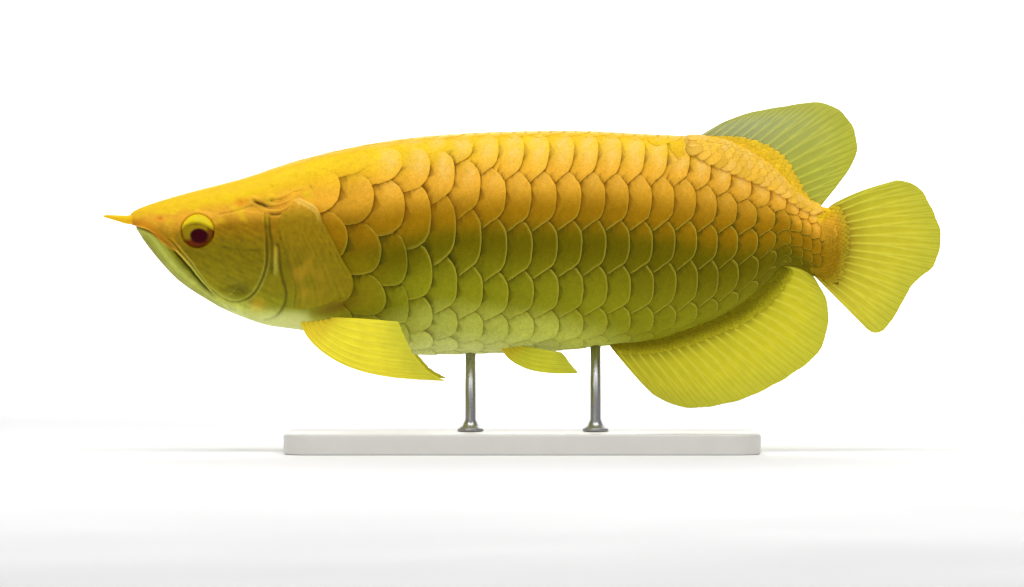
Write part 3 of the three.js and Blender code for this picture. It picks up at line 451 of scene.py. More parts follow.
def spline(points, count=160):
    """Even points by arc length on a Catmull-Rom spline through the given points."""
    p = np.array(points, float)
    if len(p) == 2:
        return p[0] + (p[1] - p[0]) * np.linspace(0, 1, count)[:, None]
    ends = np.concatenate([p[:1], p, p[-1:]])
    t = np.linspace(0, 1, 24, endpoint=False)[:, None, None]
    a, b, c, d = ends[:-3], ends[1:-2], ends[2:-1], ends[3:]
    v0, v1 = (c - a) / 2, (d - b) / 2
    raw = (2 * b - 2 * c + v0 + v1) * t ** 3 + (-3 * b + 3 * c - 2 * v0 - v1) * t ** 2 + v0 * t + b
    raw = np.concatenate([raw.transpose(1, 0, 2).reshape(-1, p.shape[1]), p[-1:]])
    run = np.concatenate([[0], np.cumsum(np.linalg.norm(np.diff(raw, axis=0), axis=1))])
    even = np.linspace(0, run[-1], count)
    return np.stack([np.interp(even, run, raw[:, k]) for k in range(p.shape[1])], -1)


def along(curve, t):
    """Point of an evenly spaced curve at share t of its length."""
    place = np.linspace(0, 1, len(curve))
    return np.stack([np.interp(t, place, curve[:, k]) for k in range(curve.shape[1])], -1)


def patch(sides, a, s):
    """Coons patch in side view: the blend of its lead and trail by a plus the blend of its root and
    tip by s, less the blend of its four corners."""
    lead, trail, root, tip = (spline(sides[k]) for k in ("lead", "trail", "root", "tip"))
    a1, s1 = a[..., None], s[..., None]
    corners = ((1 - a1) * (1 - s1) * root[0] + a1 * (1 - s1) * root[-1]
               + (1 - a1) * s1 * tip[0] + a1 * s1 * tip[-1])
    return ((1 - a1) * along(lead, s) + a1 * along(trail, s)
            + (1 - s1) * along(root, a) + s1 * along(tip, a) - corners)


def line_distance(points, line):
    """Distance of side-view points from a chain of points, and the share of the chain nearest."""
    start, step = line[:-1], np.diff(line, axis=0)
    best = np.full(len(points), 1e9)
    share = np.zeros(len(points))
    for k in range(len(start)):
        t = np.clip(((points - start[k]) @ step[k]) / max(step[k] @ step[k], 1e-12), 0, 1)
        gap = np.linalg.norm(points - start[k] - t[:, None] * step[k], axis=1)
        nearer = gap < best
        best = np.where(nearer, gap, best)
        share = np.where(nearer, (k + t) / len(start), share)
    return best, share


def mottle(x, z, size, seed):
    """Soft irregular waves between about -1 and 1: the mean of 14 sine waves of near size length in
    directions and phases from the seed."""
    random = np.random.default_rng(seed)
    total = 0
    for turn, phase, stretch in random.random((14, 3)) * [PI, 2 * PI, 1]:
        wave = 2 * PI / (size * (0.6 + 0.9 * stretch))
        total = total + np.sin((x * math.cos(turn) + z * math.sin(turn)) * wave + phase)
    return np.clip(total / 4.5, -1, 1)


def inside(points, outline):
    """Whether side-view points lie in a closed outline, by counting edges crossed to one side."""
    x, z = points.T
    a, b = outline, np.roll(outline, -1, axis=0)
    odd = np.zeros(len(points), bool)
    for (ax, az), (bx, bz) in zip(a, b):
        crosses = (az > z) != (bz > z)
        level = (bx - ax) * (z - az) / (bz - az if bz != az else 1) + ax
        odd ^= crosses & (x < level)
    return odd


def station_value(stations, x, k):
    """Value number k of a table of stations along the fish, in straight steps between them."""
    return np.interp(x, [station[0] for station in stations], [station[1][k] for station in stations])


def tints(settings, *names):
    """The named colours of a group of settings."""
    return [np.array(getattr(settings, name)[:]) for name in names]


# Meshes


def grid_quads(rows, columns, wrap=False, start=0):
    """Quads between neighbouring points of a grid, joined across the last column if wrapped."""
    i, j = np.meshgrid(np.arange(rows - 1), np.arange(columns if wrap else columns - 1), indexing="ij")
    k = (j + 1) % columns
    a, b = i * columns + j, i * columns + k
    return np.stack([a, b, b + columns, a + columns], -1).reshape(-1, 4) + start


def closed_sheet(front, back):
    """Points and quads of a thin solid: two grids of one size, joined along their borders."""
    rows, columns = front.shape[:2]
    count = rows * columns
    number = np.arange(count).reshape(rows, columns)
    borders = ((number[0, 1:], number[0, :-1]), (number[-1, :-1], number[-1, 1:]),
               (number[:-1, 0], number[1:, 0]), (number[1:, -1], number[:-1, -1]))
    walls = [np.stack([near, far, count + far, count + near], -1) for near, far in borders]
    faces = [grid_quads(rows, columns), grid_quads(rows, columns, start=count)[:, ::-1]]
    return np.concatenate([front.reshape(-1, 3), back.reshape(-1, 3)]), np.concatenate(faces + walls)


def fan(ring, centre):
    """Triangles from a closed ring of point numbers to one centre."""
    ring = np.asarray(ring)
    return np.stack([ring, np.roll(ring, -1), np.full(len(ring), centre)], -1)


def with_ends(grid, first, last):
    """The grid's values in one list, then those of its two ends."""
    return np.concatenate([grid.reshape(-1, grid.shape[-1]), [first], [last]])


def capped_tube(grid, first, last):
    """Points, quads and end triangles of a tube: closed rings in a row, each end fanned to a point."""
    rows, columns = grid.shape[:2]
    count = rows * columns
    ring = np.arange(columns)
    caps = np.concatenate([fan(ring[::-1], count), fan(count - columns + ring, count + 1)])
    return with_ends(grid, first, last), grid_quads(rows, columns, wrap=True), caps


def volume_sign(points, quads, triangles):
    """Sign of the volume that a closed surface encloses, from its triangles' signed tetrahedra."""
    parts = [triangles] if len(triangles) else []
    if len(quads):
        parts += [quads[:, [0, 1, 2]], quads[:, [0, 2, 3]]]
    t = np.concatenate(parts)
    a, b, c = points[t[:, 0]], points[t[:, 1]], points[t[:, 2]]
    return np.sign(np.einsum("ij,ij->i", a, np.cross(b, c)).sum())


def add_piece(name, points, quads, triangles=(), smooth=True, values=None, colours=None, uv=None):
    """A mesh object at the origin from points in millimetres; a closed surface that is inside out is
    turned. values are numbers for each point, colours their linear colour, uv the baking places."""
    quads = np.asarray(quads, int).reshape(-1, 4)
    triangles = np.asarray(triangles, int).reshape(-1, 3)
    if volume_sign(points - points.mean(0), quads, triangles) < 0:
        quads, triangles = quads[:, ::-1], triangles[:, ::-1]
    mesh = bpy.data.meshes.new(name)
    mesh.from_pydata((points * MM).tolist(), [], quads.tolist() + triangles.tolist())
    mesh.polygons.foreach_set("use_smooth", np.full(len(mesh.polygons), smooth))
    for key, value in (values or {}).items():
        layer = mesh.attributes.new(key, "FLOAT", "POINT")
        layer.data.foreach_set("value", np.asarray(value, np.float32).ravel())
    if colours is not None:
        rgba = np.ones((len(points), 4), np.float32)
        rgba[:, :3] = np.clip(colours, 0, 1)
        layer = mesh.attributes.new("markings", "FLOAT_COLOR", "POINT")
        layer.data.foreach_set("color", rgba.ravel())
    if uv is not None:
        corner = np.empty(len(mesh.loops), int)
        mesh.loops.foreach_get("vertex_index", corner)
        layer = mesh.uv_layers.new(name="OFBake")
        layer.data.foreach_set("uv", np.asarray(uv, np.float32)[corner].ravel())
    obj = bpy.data.objects.new(name, mesh)
    bpy.context.scene.collection.objects.link(obj)
    return obj


def finish_piece(obj, material, replaced=()):
    """Gives the piece its material and slot, and makes it ride the fish."""
    obj.data.materials.append(material)
    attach(obj, "root")
    if replaced:
        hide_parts(*replaced)


# Materials


def material_with(name):
    """An empty node material, its node maker and its principled shader."""
    material = bpy.data.materials.new(name)
    material.use_nodes = True
    tree = material.node_tree
    tree.nodes.clear()
    output = tree.nodes.new("ShaderNodeOutputMaterial")
    shader = tree.nodes.new("ShaderNodeBsdfPrincipled")
    tree.links.new(shader.outputs[0], output.inputs["Surface"])
    return material, tree, shader


def add_node(tree, kind, settings=None, **inputs):
    """A node with plain settings and with inputs that are values or other nodes' sockets."""
    made = tree.nodes.new(kind)
    for key, value in (settings or {}).items():
        setattr(made, key, value)
    for key, value in inputs.items():
        if isinstance(value, bpy.types.NodeSocket):
            tree.links.new(value, made.inputs[key])
        else:
            made.inputs[key].default_value = value
    return made


def attribute(tree, name, output="Fac"):
    """A mesh attribute's socket."""
    return add_node(tree, "ShaderNodeAttribute", {"attribute_name": name}).outputs[output]


def grain(tree, scale, detail=3.0, rough=0.55, vector=None):
    """Noise on object coordinates; scale counts features to the metre."""
    if vector is None:
        vector = add_node(tree, "ShaderNodeTexCoord").outputs["Object"]
    return add_node(tree, "ShaderNodeTexNoise", Vector=vector, Scale=scale, Detail=detail,
                    Roughness=rough).outputs["Fac"]


def ranged(tree, value, low, high):
    """Maps 0..1 noise to a range, spreading its middle part."""
    return add_node(tree, "ShaderNodeMapRange", Value=value, **{
        "From Min": 0.3, "From Max": 0.7, "To Min": low, "To Max": high}).outputs["Result"]


def shaded(tree, colour, factor):
    """A colour multiplied by a number."""
    made = add_node(tree, "ShaderNodeMix", {"data_type": "RGBA", "blend_type": "MULTIPLY"})
    made.inputs[MIX_SHARE].default_value = 1.0
    tree.links.new(colour, made.inputs[MIX_FIRST])
    tree.links.new(factor, made.inputs[MIX_SECOND])
    return made.outputs[MIX_RESULT]


def bumped(tree, shader, height, strength, distance):
    """Feeds a height into the shader's normal."""
    made = add_node(tree, "ShaderNodeBump", Strength=strength, Distance=distance, Height=height)
    tree.links.new(made.outputs[0], shader.inputs["Normal"])


def painted(tree, shader, speckles, roughness, settings):
    """Feeds the shader with the painted markings, multiplied by each speckle (noise, low, high), with
    a roughness (noise, low, high), and with plain settings by name."""
    paint = attribute(tree, "markings", "Color")
    for speckle in speckles:
        paint = shaded(tree, paint, ranged(tree, *speckle))
    tree.links.new(paint, shader.inputs["Base Color"])
    tree.links.new(ranged(tree, *roughness), shader.inputs["Roughness"])
    for key, value in settings.items():
        shader.inputs[key].default_value = value


def skin_material():
    """Wet scaleless skin: painted markings, fine mottling and soft pores."""
    material, tree, shader = material_with("wet_skin")
    painted(tree, shader, ((grain(tree, 260), 0.95, 1.04), (grain(tree, 1500), 0.96, 1.03)),
            (grain(tree, 500), 0.34, 0.5),
            {"Specular IOR Level": 0.24, "Specular Tint": (1.0, 0.8, 0.15, 1.0),
             "Coat Weight": 0.05, "Coat Roughness": 0.25})
    bumped(tree, shader, grain(tree, 900, 4), 0.35, 0.0004)
    return material


def scale_material():
    """Pearly scale: painted markings, with their mottled painted highlight, and fine spokes toward the rim.
    """
    material, tree, shader = material_with("pearly_scale")
    spoke = add_node(tree, "ShaderNodeCombineXYZ", X=attribute(tree, "spoke"),
                     Y=attribute(tree, "ring"), Z=attribute(tree, "seed")).outputs[0]
    painted(tree, shader, ((grain(tree, 420), 0.95, 1.05), (grain(tree, 1000, 5), 0.87, 1.12),
                           (grain(tree, 1.0, 3, 0.6, spoke), 0.95, 1.05)),
            (grain(tree, 700), 0.36, 0.52),
            {"Specular IOR Level": 0.22, "Specular Tint": (1.0, 0.8, 0.12, 1.0)})
    bumped(tree, shader, grain(tree, 900, 4), 0.4, 0.0004)
    return material


def fin_material():
    """Thin membrane: painted markings with fine streaks along the rays."""
    material, tree, shader = material_with("fin_membrane")
    streak = add_node(tree, "ShaderNodeCombineXYZ", X=attribute(tree, "across"),
                      Y=attribute(tree, "out")).outputs[0]
    streaks = grain(tree, 1.0, 3, 0.6, streak)
    painted(tree, shader, ((grain(tree, 90), 0.95, 1.05), (streaks, 0.97, 1.03)),
            (grain(tree, 600), 0.4, 0.55),
            {"Specular IOR Level": 0.2, "Specular Tint": (1.0, 0.9, 0.5, 1.0)})
    bumped(tree, shader, streaks, 0.3, 0.0003)
    return material


def eye_material():
    """Wet eye: painted rings under a glossy cornea coat."""
    material, tree, shader = material_with("wet_eye")
    painted(tree, shader, ((grain(tree, 1400), 0.85, 1.12),), (grain(tree, 300), 0.12, 0.2),
            {"Specular IOR Level": 0.03, "Coat Weight": 0.04, "Coat Roughness": 0.03})
    return material


def plain_material(name, colour, roughness, metallic=0.0, scale=300.0):
    """A plain finish with faint cloudy wear in its colour and gloss."""
    material, tree, shader = material_with(name)
    made = add_node(tree, "ShaderNodeMix", {"data_type": "RGBA"})
    tree.links.new(grain(tree, scale, 4), made.inputs[MIX_SHARE])
    made.inputs[MIX_FIRST].default_value = [channel * 0.94 for channel in colour] + [1]
    made.inputs[MIX_SECOND].default_value = [min(1, channel * 1.04) for channel in colour] + [1]
    tree.links.new(made.outputs[MIX_RESULT], shader.inputs["Base Color"])
    tree.links.new(ranged(tree, grain(tree, scale * 3), roughness * 0.85, roughness * 1.15),
                   shader.inputs["Roughness"])
    shader.inputs["Metallic"].default_value = metallic
    bumped(tree, shader, grain(tree, scale * 8, 2), 0.1, 0.0001)
    return material


# Markings


def band_colour(x, share):
    """Body colour without features: each named colour is reached at a share of the depth that runs
    smoothly along the fish, and colours ease into each other between. Gold turns to amber on the
    very ridge of the back, and the lower flank behind the gill cover is warmer."""
    body = bpy.context.scene.arowana_body
    named = tints(body, *BANDS)
    tan, = tints(body, "tan")
    x, share = np.broadcast_arrays(x, share)
    stops = [station_value(BAND_PLACES, x, k) for k in range(len(BANDS))]
    ridge = 0.4 * ease(0.045, 0.0, share) * ease(-200, -90, x)
    colour = mix(np.broadcast_to(named[0], x.shape + (3,)), named[1], ridge)
    for k in range(1, len(BANDS)):
        colour = mix(colour, named[k], ease(stops[k - 1], stops[k], share))
    warm = ease(-150, -135, x) * ease(-80, -110, x) * ease(0.5, 0.62, share) * ease(0.9, 0.75, share)
    return mix(colour, tan, 0.6 * warm)


def armpit_shadow(colour, x, z):
    """The colour darkened by a painted shadow in the recess between gill cover and pectoral fin, a tilted
    bell in side view."""
    warm_shade, painted_shade = tints(bpy.context.scene.arowana_body, "warm_shade", "painted_shade")
    level = 98.5 + 0.28 * (x + 126)
    return mix(colour, mix(warm_shade, painted_shade, 0.6), 0.75 * bell(x, -125, 18) * bell(z, level, 4.8))


def depth_share(angle):
    """Share of the body's depth below the back at a girth angle: (1 - cos) / 2."""
    return (1 - np.cos(angle)) / 2


# Head


def head_features(x, angle):
    """Relief of the head in millimetres, the distance and run share of each of its lines, and the
    side-view places where they are taken."""
    shape = np.broadcast(x, angle).shape
    flat = skin_point(x, angle).reshape(-1, 3)[:, [0, 2]]
    px, pz = flat.T
    lines = {key: spline(line, 60) for key, line in HEAD_LINES.items()}
    gap = {key: line_distance(flat, line) for key, line in lines.items()}

    mouth = gap["mouth"][0]
    below_lip = pz < np.interp(px, *lines["mouth"].T)
    in_mouth = ease(-205, -217, px)
    height = -1.9 * bell(mouth, 0, 0.8) * in_mouth
    height -= np.where(below_lip, 0.9 * np.exp(-mouth / 9), 0) * in_mouth
    lip, lip_run = gap["lip"]
    height += 0.45 * bell(lip, 0.6, 0.9) * ~below_lip * ease(1, 0.9, lip_run)

    cheek, cheek_run = gap["cheek"]
    plate = inside(flat, np.concatenate([lines["cheek"], lines["top"]]))
    soft = ease(0, 0.06, cheek_run)
    height += np.where(plate, 0.9 * (1 - np.exp(-cheek / 0.5)) * np.exp(-cheek / 30), 0) * soft
    height += 0.6 * bell(cheek, 0.7, 0.6) * plate * soft
    height -= bell(cheek, 0, 0.8) * ~plate * soft
    for key, depth in FOLD_DEPTHS.items():
        near, run = gap[key]
        fade = ease(0, 0.12, run) * ease(1, 0.88, run)
        height += depth * (0.5 * bell(near, 2, 1.1) - bell(near, 0, 0.9)) * fade
    girth = depth_share(np.broadcast_to(angle, shape).ravel())
    bony = ease(-255, -235, px) * ease(0.04, 0.2, girth) * ease(0.95, 0.8, girth)
    height += (0.16 * mottle(px, pz, 3.2, 5) + 0.3 * mottle(px, pz, 9, 6)) * bony
    height += 0.22 * mottle(px, pz * 2, 4, 7) * plate * ease(132, 118, pz)

    for key, (depth, width) in GROOVES.items():
        near, run = gap[key]
        fade = 1 if key == "rear" else ease(0, 0.08, run) * ease(1, 0.92, run)
        height -= depth * bell(near, 0, width) * fade
    strip = (px > -168.5) & (px < -163.8) & (pz > 116) & (pz < 141)
    height += 0.5 * strip * bell(px, -166.2, 1.6)
    for dent_x, dent_z, wide, high, depth in HEAD_DENTS:
        height -= depth * bell(px, dent_x, wide) * bell(pz, dent_z, high)
    socket = np.hypot(px - EYE["x"], pz - EYE["z"])
    height -= EYE["socket"] * ease(EYE["radius"] - 0.1, EYE["radius"] - 1.6, socket)
    height += 0.8 * bell(socket, EYE["radius"] + 0.7, 1.2)
    gap = {key: (near.reshape(shape), run.reshape(shape)) for key, (near, run) in gap.items()}
    return height.reshape(shape), gap, flat.reshape(shape + (2,))


def head_colour(colour, gap, flat):
    """Body colour with the head's jaw, cheek, flush, painted shade in its creases with painted
    highlights beside them, and throat laid over it.
    """
    orange, pale, gold, sage, moss, amber, tan = tints(
        bpy.context.scene.arowana_body, "orange", "pale", "gold", "sage", "moss", "amber", "tan")
    x, z = flat[..., 0], flat[..., 1]
    below = (z < np.interp(x, *spline(MOUTH, 60).T)) & (x < -190)
    jaw = below * ease(-192, -214, x)
    colour = mix(colour, moss, jaw * 0.9)
    colour = mix(colour, mix(sage, pale, 0.1), bell(gap["jaw"][0], 0, 3.2) * jaw * 0.85)
    colour = colour * (1 + 0.07 * np.sin(gap["jaw"][0] * 2.4) * jaw)[..., None]
    patches = 0.6 * mottle(x, z, 11, 8) + 0.4 * mottle(x, z, 5, 9)
    colour = colour * (1 + 0.12 * patches * ease(165, 150, z))[..., None]
    colour = mix(colour, tan, 0.5 * ease(158, 136, z) * ease(100, 112, z) * ~below)
    bumpy = 0.13 * mottle(x * 0.8 + z, z * 1.2, 6.5, 12) + 0.08 * mottle(x, z * 1.4, 3.2, 13)
    colour = colour * (1 + bumpy * ease(160, 150, z) * ease(-150, -175, x) * ~below)[..., None]
    lemon = ease(0.2, 0.9, mottle(x, z * 1.6, 17, 10)) * ease(150, 163, z)
    colour = mix(colour, np.minimum(gold * [1, 1.12, 0.9], 1), 0.5 * lemon)
    underjaw = ease(99, 90, z) * ease(-225, -205, x) * ease(-138, -150, x)
    colour = mix(colour, mix(sage, pale, 0.6), underjaw)
    colour = mix(colour, orange, 0.4 * bell(x, -262, 9) * bell(z, 154, 5) * ~below)
    colour = mix(colour, orange, 0.4 * bell(gap["lip"][0], 0, 4) * ~below * ease(-225, -245, x))
    for spot_x, spot_z, size in ORANGE_SPOTS:
        colour = mix(colour, orange, 0.75 * bell(x, spot_x, size) * bell(z, spot_z, size))
    colour = mix(colour, amber, 0.35 * bell(x, -178.5, 5) * bell(z, 100.5, 4.5))
    colour = head_creases(colour, gap, x, z, below)
    throat = ease(-185, -172, x) * ease(-138, -150, x) * ease(96, 88, z)
    return mix(colour, pale * 1.05, 0.85 * throat)


def head_creases(colour, gap, x, z, below):
    """Painted shade in the creases along the head's lines and in its hollows, and lit rims beside them as
    painted highlights.
    """
    painted_shade, amber, sage = tints(bpy.context.scene.arowana_body, "painted_shade", "amber", "sage")
    near = {key: value[0] for key, value in gap.items()}
    cheek_run = gap["cheek"][1]
    # Painted shade in the creases and recesses of the head.
    crease_shade = sum(dark * bell(near[key], 0, width) for key, (dark, width) in CREASES.items())
    for key in FOLD_DEPTHS:
        crease_shade += 0.5 * bell(near[key], 0, 1) * ease(0, 0.15, gap[key][1]) * ease(1, 0.85, gap[key][1])
    crease_shade += 0.85 * bell(near["mouth"], 0, 0.9) * ease(-205, -217, x)
    crease_shade += 0.6 * below * bell(near["mouth"], 0, 2.9) * ease(-240, -230, x) * ease(-208, -217, x)
    crease_shade += 0.55 * bell(near["cheek"], 0.2, 0.6) * ease(0.05, 0.2, cheek_run)
    crease_shade += 0.6 * bell(x, -175, 8) * bell(z, 168.5, 2.6) + 0.65 * bell(x, -191.5, 8) * bell(z, 110.5, 4.4)
    crease_shade += 0.3 * bell(x, -170.5, 1.6) * ease(160, 150, z) * ease(118, 128, z)
    colour = mix(colour, painted_shade, np.clip(crease_shade, 0, 0.9))
    # Painted highlights along the lip, folds, cheek edge and strip, and in specks by the cheek's dark
    # recess.
    rims = 0.85 * bell(near["lip"], 0.2, 0.75) + 0.3 * sum(bell(near[key], 2.1, 0.8) for key in FOLD_DEPTHS)
    rims += 0.5 * bell(near["cheek"], 1.4, 0.5) * ease(0, 0.1, cheek_run) * ease(0.98, 0.6, cheek_run)
    rims += 0.5 * bell(x, -166.2, 1.5) * ease(118, 124, z) * ease(142, 136, z)
    rims += 0.35 * ease(0.3, 1.0, mottle(x, z * 1.7, 5, 11)) * bell(x, -197, 8) * bell(z, 109.5, 2.2)
    lit = mix(amber * 1.1, sage * [1.15, 1.1, 1], ease(150, 118, z))
    return mix(colour, lit, np.clip(rims, 0, 0.85))


def coat_share(x, turned):
    """Share of the coat's depth by which the skin lies under the scales: it starts behind the nape,
    and is less along the back and beside the roots of the dorsal and anal fins."""
    share = ease(0, 1, (x - nape_line(turned)) / (3 + 24 * ease(75, 45, turned)))
    share = share * (1 - 0.9 * ease(ANAL_ROOT_X, ANAL_ROOT_X + 20, x) * ease(140, 165, turned))
    share = share * (1 - 0.6 * ease(120, 0, x) * ease(24, 10, turned))
    return share * (1 - 0.7 * ease(105, 128, x) * ease(56, 40, turned))


def under_cover(flat):
    """1 well inside the gill cover's outline and 0 outside it, for side-view places."""
    outline = np.concatenate([spline(COVER[side], 60)[::step] for side, step in (
        ("lead", 1), ("tip", 1), ("trail", -1), ("root", -1))])
    gap = line_distance(flat, np.concatenate([outline, outline[:1]]))[0]
    return inside(flat, outline) * ease(1.2, 3.0, gap)


class AROWANA_OT_skin(bpy.types.Operator):
    """Lays the one skin of head, jaw, trunk and tail stalk under the scales."""
    bl_idname = "arowana.skin"
    bl_label = "Skin"

    def execute(self, context):
        coat = context.scene.arowana_body.coat_depth / MM
        half = 186
        share = np.arange(2 * half) / half
        share = np.where(share > 1, share - 2, share)
        angle = (PI * share + 0.12 * np.sin(2 * PI * share))[None, :]
        run = np.linspace(0, 1, 168) ** 1.15
        head = SNOUT_X + (HEAD_END_X - SNOUT_X) * run
        x = np.concatenate([head, np.linspace(HEAD_END_X, SKIN_END_X, 84)[1:]])[:, None]
        relief, gap, flat = head_features(x, angle)
        on_head = ease(-138, -146, x)
        covered = coat_share(x, np.degrees(np.abs(angle)))
        under = under_cover(flat.reshape(-1, 2)).reshape(relief.shape)
        height = relief * on_head * (1 - under) - COVER_BED * under - coat * covered
        points = on_skin(x, angle, height)
        colour = band_colour(x, depth_share(angle))
        colour = mix(colour, head_colour(colour, gap, flat), on_head + 0 * angle)
        colour = armpit_shadow(colour, flat[..., 0], flat[..., 1])
        tube = capped_tube(points, points[0].mean(0) - [0.6, 0, 0], points[-1].mean(0))
        obj = add_piece("skin", *tube, colours=with_ends(colour, colour[0, 0], colour[-1, 0]))
        finish_piece(obj, skin_material(), ("head", "lower_jaw", "trunk", "tail_stalk"))
        return {"FINISHED"}


# Scales


def column_x(column):
    """Place of a scale column's rear edge: even pitch in front of column 0, the curve behind it."""
    return np.where(column < 0, SCALE_COLUMNS[0][1] + column * FRONT_COLUMN_PITCH, column_curve(column))


def place_in_row(row, column):
    """Place of a column number in one row: the column's place, set back at the shoulder."""
    x = column_x(column)
    return x + SHOULDER_SHIFT[row] * ease(-72, -92, x)


def row_span(row, column):
    """Degrees of girth at which a scale of this row starts and how many it spans, by its own column:
    the back row starts at the median, the belly row spans both flanks."""
    place = place_in_row(row, column + REAR_EDGE[row])
    if row == 0:
        return 0 * place, station_value(ROW_EDGES, place, 0)
    start = station_value(ROW_EDGES, place, row - 1)
    if row == BELLY_ROW:
        return start, 360 - 2 * start
    return start, station_value(ROW_EDGES, place, row) - start


def median_outline(table, row):
    """A scale's edge made symmetric about the median: the back row's from the lower half of the
    table, the belly row's from its own half."""
    if row == 0:
        half = table[3:12]
        half = np.stack([half[:, 0], (half[:, 1] - 0.3) / 0.7], -1)
        half[-1, 1] = 0
        return np.concatenate([half, half[-2:0:-1] * [1, -1]])
    half = np.array(BELLY_HALF_OUTLINE)
    return np.concatenate([half, (half[-2:0:-1] - [0, 0.5]) * [1, -1] + [0, 0.5]])


def scale_outline(row, spokes):
    """Edges of one scale at the flank and at the shoulder: closed splines through the tables, with
    as many points as spokes."""
    edges = []
    for table in (FLANK_OUTLINE, SHOULDER_OUTLINE):
        table = np.array(table)
        if row in (0, BELLY_ROW):
            table = median_outline(table, row)
        loop = spline(np.concatenate([table[-3:], table, table[:3]]), 600)
        gap = np.linalg.norm(loop - table[0], axis=1)
        loop = loop[np.argmin(gap[:300]):300 + np.argmin(gap[300:]) + 1]
        edges.append(along(loop, np.arange(spokes) / spokes))
    return edges


def rear_edge(across, shoulder):
    """Rear edge of a scale, in pitches before its rearmost point, at a place across its row."""
    flank, front = (np.array(table[:REAR_POINTS]) for table in (FLANK_OUTLINE, SHOULDER_OUTLINE))
    return (np.interp(across, flank[:, 1], flank[:, 0]) * (1 - shoulder)
            + np.interp(across, front[:, 1], front[:, 0]) * shoulder)


def uncovered(row, columns, c, turned, shoulder):
    """How far, in pitches, a place on a scale lies behind the nearest edge of the scales over it: the
    one in front in its row, the upper one, and the lower one in front."""
    def behind(other, step, weight):
        """Distance behind the edge of one neighbour, or 9 where that doesn't reach over the place."""
        start, span = row_span(other, columns - step)
        e = (turned - start) / span
        if other == 0:
            e = 0.3 + 0.7 * np.abs(e)
        if other == BELLY_ROW:
            e = np.minimum(e, 1 - e)
        gap = c + step + REAR_EDGE[row] - REAR_EDGE[other] - rear_edge(e, shoulder)
        return np.where((e > -0.12) & (e < 1.1), gap * weight, 9)
    gaps = [behind(row, 1, 1.0)]
    if row > 0:
        gaps.append(behind(row - 1, 0, 0.6))
    if row < BELLY_ROW:
        gaps.append(behind(row + 1, 1, 0.8))
    return np.minimum.reduce(gaps)


def scale_places(row, columns, random):
    """Where the rings and spokes of one row's scales lie: c in pitches from the column's rearmost
    place, e in rows from the upper row line, and with those x and the girth angle in degrees."""
    at = SimpleNamespace(row=row, columns=columns[:, None, None])
    at.rings = np.array(SCALE_RINGS)[None, :, None]
    spokes = 48
    flank, front = scale_outline(row, spokes)
    rear = at.columns + REAR_EDGE[row]
    at.shoulder = ease(-25, -75, column_x(rear))
    middle_c, middle_e = -0.75, 0.0 if row == 0 else 0.5
    rough = 1 + 0.008 * random.standard_normal((len(columns), 1, spokes)) * (at.rings > 0.9)
    at.edge_c = flank[:, 0] * (1 - at.shoulder) + front[:, 0] * at.shoulder - middle_c
    at.edge_e = flank[:, 1] * (1 - at.shoulder) + front[:, 1] * at.shoulder - middle_e
    at.c = middle_c + at.rings * at.edge_c * rough
    at.e = middle_e + at.rings * at.edge_e * rough
    at.x = place_in_row(row, rear + at.c)
    start, span = row_span(row, at.columns)
    at.turned = start + at.e * span
    at.share = depth_share(np.radians(at.turned))
    level_rows = ease(-90, -10, at.x)
    bare = 0.95 * ease(0.17 - 0.12 * level_rows, 0.10 - 0.08 * level_rows, at.share)
    bare = np.maximum(bare, 0.85 if row == 0 else 0)
    at.bare = np.maximum(bare, 0.45 * ease(0.88, 0.98, at.share))
    return at


def scale_points(at, body):
    """Points of the scales: each rises toward its rear edge by one step a pitch and toward its lower
    edge by half a step a row, so that it lies over the one behind, the lower one beside it and under
    the lower one in front; a low dome is added and the rim is thinned."""
    lower = {0: 0.25 * np.abs(at.e), BELLY_ROW: 0.5 * np.minimum(at.e, 1 - at.e) - 0.25}
    tilt = lower.get(at.row, 0.5 * at.e - 0.25)
    at_fin = (ease(DORSAL_ROOT_X - 24, DORSAL_ROOT_X - 6, at.x) * ease(32, 10, at.turned)
              + ease(ANAL_ROOT_X - 20, ANAL_ROOT_X, at.x) * ease(146, 168, at.turned))
    pitch = (column_x(at.columns + 0.5) - column_x(at.columns - 0.5)) / FLANK_PITCH
    near_nape = 0.5 * ease(30, 0, at.x - nape_line(at.turned)) * ease(0.3, 0.1, at.share)
    relief = np.clip(pitch, 0.4, 1.1) * (1 - 0.7 * at_fin) * (1 - at.bare) * (1 - near_nape)
    dome = body.crown / MM * (1 - np.clip((at.c + 0.45) / 0.7, -1.3, 1.3) ** 2)
    rim = body.thickness / MM * 0.7 * ease(0.93, 1, at.rings) ** 2
    level = (body.rise / MM * (at.c + tilt) + dome) * relief - rim
    return on_skin(at.x, np.radians(at.turned), np.maximum(level, DEEPEST_ROOT))


